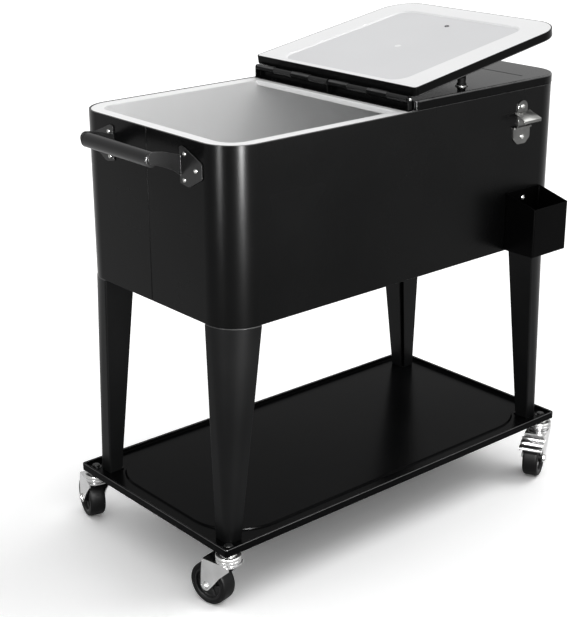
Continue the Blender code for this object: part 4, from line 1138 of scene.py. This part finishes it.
def wheel_ribs(label):
    """Six ribs on each face of the wheel's web, lower towards the rim."""
    count = 6
    near, far = 0.0098, 0.0250
    far_drop = 0.0016
    form = bmesh.new()
    for sign in (-1, 1):
        for step in range(count):
            turn = 2 * math.pi * step / count
            rows = []
            for y, half, drop in ((0.0084, 0.0013, 0), (0.0120, 0.0009, far_drop)):
                corners = ((near, -half, y), (far, -half, y - drop), (far, half, y - drop), (near, half, y))
                row = []
                for reach, across, rise in corners:
                    x = reach * math.cos(turn) - across * math.sin(turn)
                    z = reach * math.sin(turn) + across * math.cos(turn)
                    row.append((x, sign * rise, z))
                rows.append(row)
            add_stack(form, rows)
    ribs = soften(link(f"{label}_wheel_ribs", form, axle_place(label)), width=0.0002, segments=1)
    dress(ribs, f"{label}_wheel", HUB, "rubber")


def caster_axle(label):
    """A bolt with a domed head at one end and a hexagonal nut at the other."""
    steps = 36
    side_angle = math.pi / 3
    inside = 0.0203
    nut_end = 0.0232
    shaft = [(0.0022, -0.0243), (0.0048, -0.0240), (0.0062, -0.0230), (0.0065, -0.0214), (0.0065, -inside)]
    shaft += [(0.0040, -inside), (0.0040, inside)]
    loops = rings_along_y(shaft, steps)
    for radius, y, limit in ((0.0065, inside, 1), (0.0065, 0.0222, 1), (0.0056, nut_end, 0.95)):
        row = []
        for step in range(steps):
            turn = 2 * math.pi * step / steps
            flat = math.cos(side_angle / 2) / math.cos(turn % side_angle - side_angle / 2)
            reach = radius * min(flat, limit)
            row.append((reach * math.cos(turn), y, reach * math.sin(turn)))
        loops.append(row)
    loops += rings_along_y(((0.0036, nut_end), (0.0036, 0.0240), (0.0028, 0.0243)), steps)
    body = soften(stack(f"{label}_axle_bolt", loops, axle_place(label)), sharp=25)
    dress(body, f"{label}_fork", STEEL, "steel", f"{label}_caster_axle")


def pedal(label):
    """The stepped foot plate with its side walls and tongue, and the rubber block under it."""
    place = swivel_place(label)
    path = (
        (0.0440, 0.0799), (0.0455, 0.0799), (0.0468, 0.0792), (0.0480, 0.0768),
        (0.0490, 0.0757), (0.0580, 0.0749), (0.0592, 0.0738), (0.0602, 0.0712),
        (0.0612, 0.0702), (0.0690, 0.0692), (0.0708, 0.0680), (0.0725, 0.0655),
    )
    root_x, root_z = path[1]
    half = 0.0009
    tongue_half = 0.0008
    plate_half = 0.0225
    tongue_wide = 0.017
    wall_drop = 0.0073
    top = [(x, z + half) for x, z in path]
    under = [(x, z - half) for x, z in path]
    body = slab_along_y(f"{label}_foot_plate", top + under[::-1], -plate_half, plate_half, place)
    tongue = block(
        "tongue", 0.026, root_x, -tongue_wide, tongue_wide, root_z - tongue_half, root_z + tongue_half, place
    )
    wall = [(x, z - GAP) for x, z in top[1:-1]] + [(x, z - wall_drop) for x, z in path[1:-1]][::-1]
    parts = [tongue]
    for sign in (-1, 1):
        near, far = sorted((sign * 0.0222, sign * 0.0207))
        parts.append(slab_along_y("wall", wall, near, far, place))
    combine(body, parts, "UNION")
    soften(body, width=0.0003, segments=1, sharp=35)
    dress(body, f"{label}_pedal", CHROME, "chrome", f"{label}_brake_pedal")
    outline = (
        (0.0610, 0.0684), (0.0695, 0.0672), (0.0722, 0.0635),
        (0.0722, 0.0590), (0.0690, 0.0590), (0.0655, 0.0655),
    )
    pad = soften(slab_along_y(f"{label}_brake_block", outline, -0.0150, 0.0150, place), width=0.0005)
    dress(pad, f"{label}_pedal", RUBBER, "rubber")


# Solids that are carried over


def dress_nodes():
    for name, material in NODE_FINISHES.items():
        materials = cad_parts[name].data.materials
        materials.clear()
        materials.append(material)


# Floor, light and camera


def seen_directly(nodes, links):
    """1 for the camera, mirrored and refracted rays, and 0 for the light that falls on the object."""
    path = nodes.new("ShaderNodeLightPath")
    total = path.outputs["Is Camera Ray"]
    for ray in ("Is Glossy Ray", "Is Transmission Ray"):
        either = nodes.new("ShaderNodeMath")
        either.operation = "MAXIMUM"
        links.new(total, either.inputs[0])
        links.new(path.outputs[ray], either.inputs[1])
        total = either.outputs["Value"]
    return total


def sky():
    world = bpy.data.worlds.new("studio")
    bpy.context.scene.world = world
    world.use_nodes = True
    nodes, links = world.node_tree.nodes, world.node_tree.links
    background = nodes["Background"]
    change = nodes.new("ShaderNodeMapRange")
    change.inputs["To Min"].default_value = AMBIENT
    change.inputs["To Max"].default_value = 1.0
    links.new(seen_directly(nodes, links), change.inputs["Value"])
    links.new(change.outputs["Result"], background.inputs["Strength"])
    background.inputs["Color"].default_value = (1, 1, 1, 1)


def floor():
    """A pale sheet, brighter to look at than it is to the object."""
    form = bmesh.new()
    signs = ((-1, -1), (1, -1), (1, 1), (-1, 1))
    form.faces.new([form.verts.new((x * FLOOR, y * FLOOR, -0.0002)) for x, y in signs])
    sheet = link("studio_floor", form, Matrix.Identity(4))
    material, nodes, links, shader = new_material("floor_paper")
    nodes.remove(shader)
    paper = nodes.new("ShaderNodeBsdfDiffuse")
    links.new(paper.outputs["BSDF"], nodes["Material Output"].inputs["Surface"])
    grain = noise(nodes, links, 2.0, 3.0)
    shades = [spread(nodes, links, grain, *limits) for limits in (FLOOR_LIT, FLOOR_SEEN)]
    shade = nodes.new("ShaderNodeMapRange")
    links.new(seen_directly(nodes, links), shade.inputs["Value"])
    links.new(shades[0], shade.inputs["To Min"])
    links.new(shades[1], shade.inputs["To Max"])
    links.new(shade.outputs["Result"], paper.inputs["Color"])
    sheet.data.materials.append(material)


def turn_towards(direction):
    return Vector(direction).to_track_quat("-Z", "Y").to_euler()


def lamp(name, position, target, wide, tall, power):
    """A lamp that shows in reflections only."""
    light = bpy.data.lights.new(name, "AREA")
    light.energy = power
    light.shape = "RECTANGLE"
    light.size = wide
    light.size_y = tall
    item = new_item(name, light)
    item.location = position
    item.rotation_euler = turn_towards(Vector(target) - Vector(position))
    item.visible_camera = False
    item.visible_diffuse = False


def lights():
    sun = bpy.data.lights.new("key", "SUN")
    sun.energy = KEY
    sun.angle = KEY_SPREAD
    new_item("key", sun).rotation_euler = turn_towards(KEY_AHEAD)
    for name, values in LAMPS.items():
        lamp(name, *values)


def camera():
    """The camera that was fitted to the photograph's edges."""
    focal_pixels = 1400.4
    picture_height = 617
    sensor = 36
    eye = bpy.data.cameras.new("view")
    eye.lens = focal_pixels * sensor / picture_height
    right = Vector((0.7582, -0.6520, -0.0041))
    up = Vector((0.2293, 0.2609, 0.9377))
    back = Vector((-0.6104, -0.7119, 0.3473))
    turn = Matrix((right, up, back)).transposed()
    item = new_item("view", eye)
    item.matrix_world = Matrix.Translation((-1.6317, -1.7814 + SHIFT_Y, 1.2730)) @ turn.to_4x4()
    bpy.context.scene.camera = item


tub_shell("front_sheet", "front_shell", -1)
tub_shell("rear_sheet", "rear_shell", 1)
liner()
drain_spout()
drain_cap()
hinge()
for side_name, side_sign in SIDES:
    lid_shell(side_name, side_sign)
    lid_inside(side_name, side_sign)
    lid_marks(side_name, side_sign)
    grip(side_name, side_sign)
    for depth_label, depth_sign in DEPTHS:
        bumper(side_name, side_sign, depth_label, depth_sign)
        bracket(side_name, side_sign, depth_label, depth_sign)
        ferrule(side_name, side_sign, depth_label, depth_sign)
        leg(side_name, side_sign, depth_label, depth_sign)
opener()
catcher()
tray()
for corner_name in AHEAD:
    caster_stem(corner_name)
    caster_fork(corner_name)
    caster_wheel(corner_name)
    wheel_ribs(corner_name)
    caster_axle(corner_name)
for corner_name in ("front_right", "back_right"):
    pedal(corner_name)
dress_nodes()
sky()
floor()
lights()
camera()
bpy.context.scene.view_settings.view_transform = "Standard"
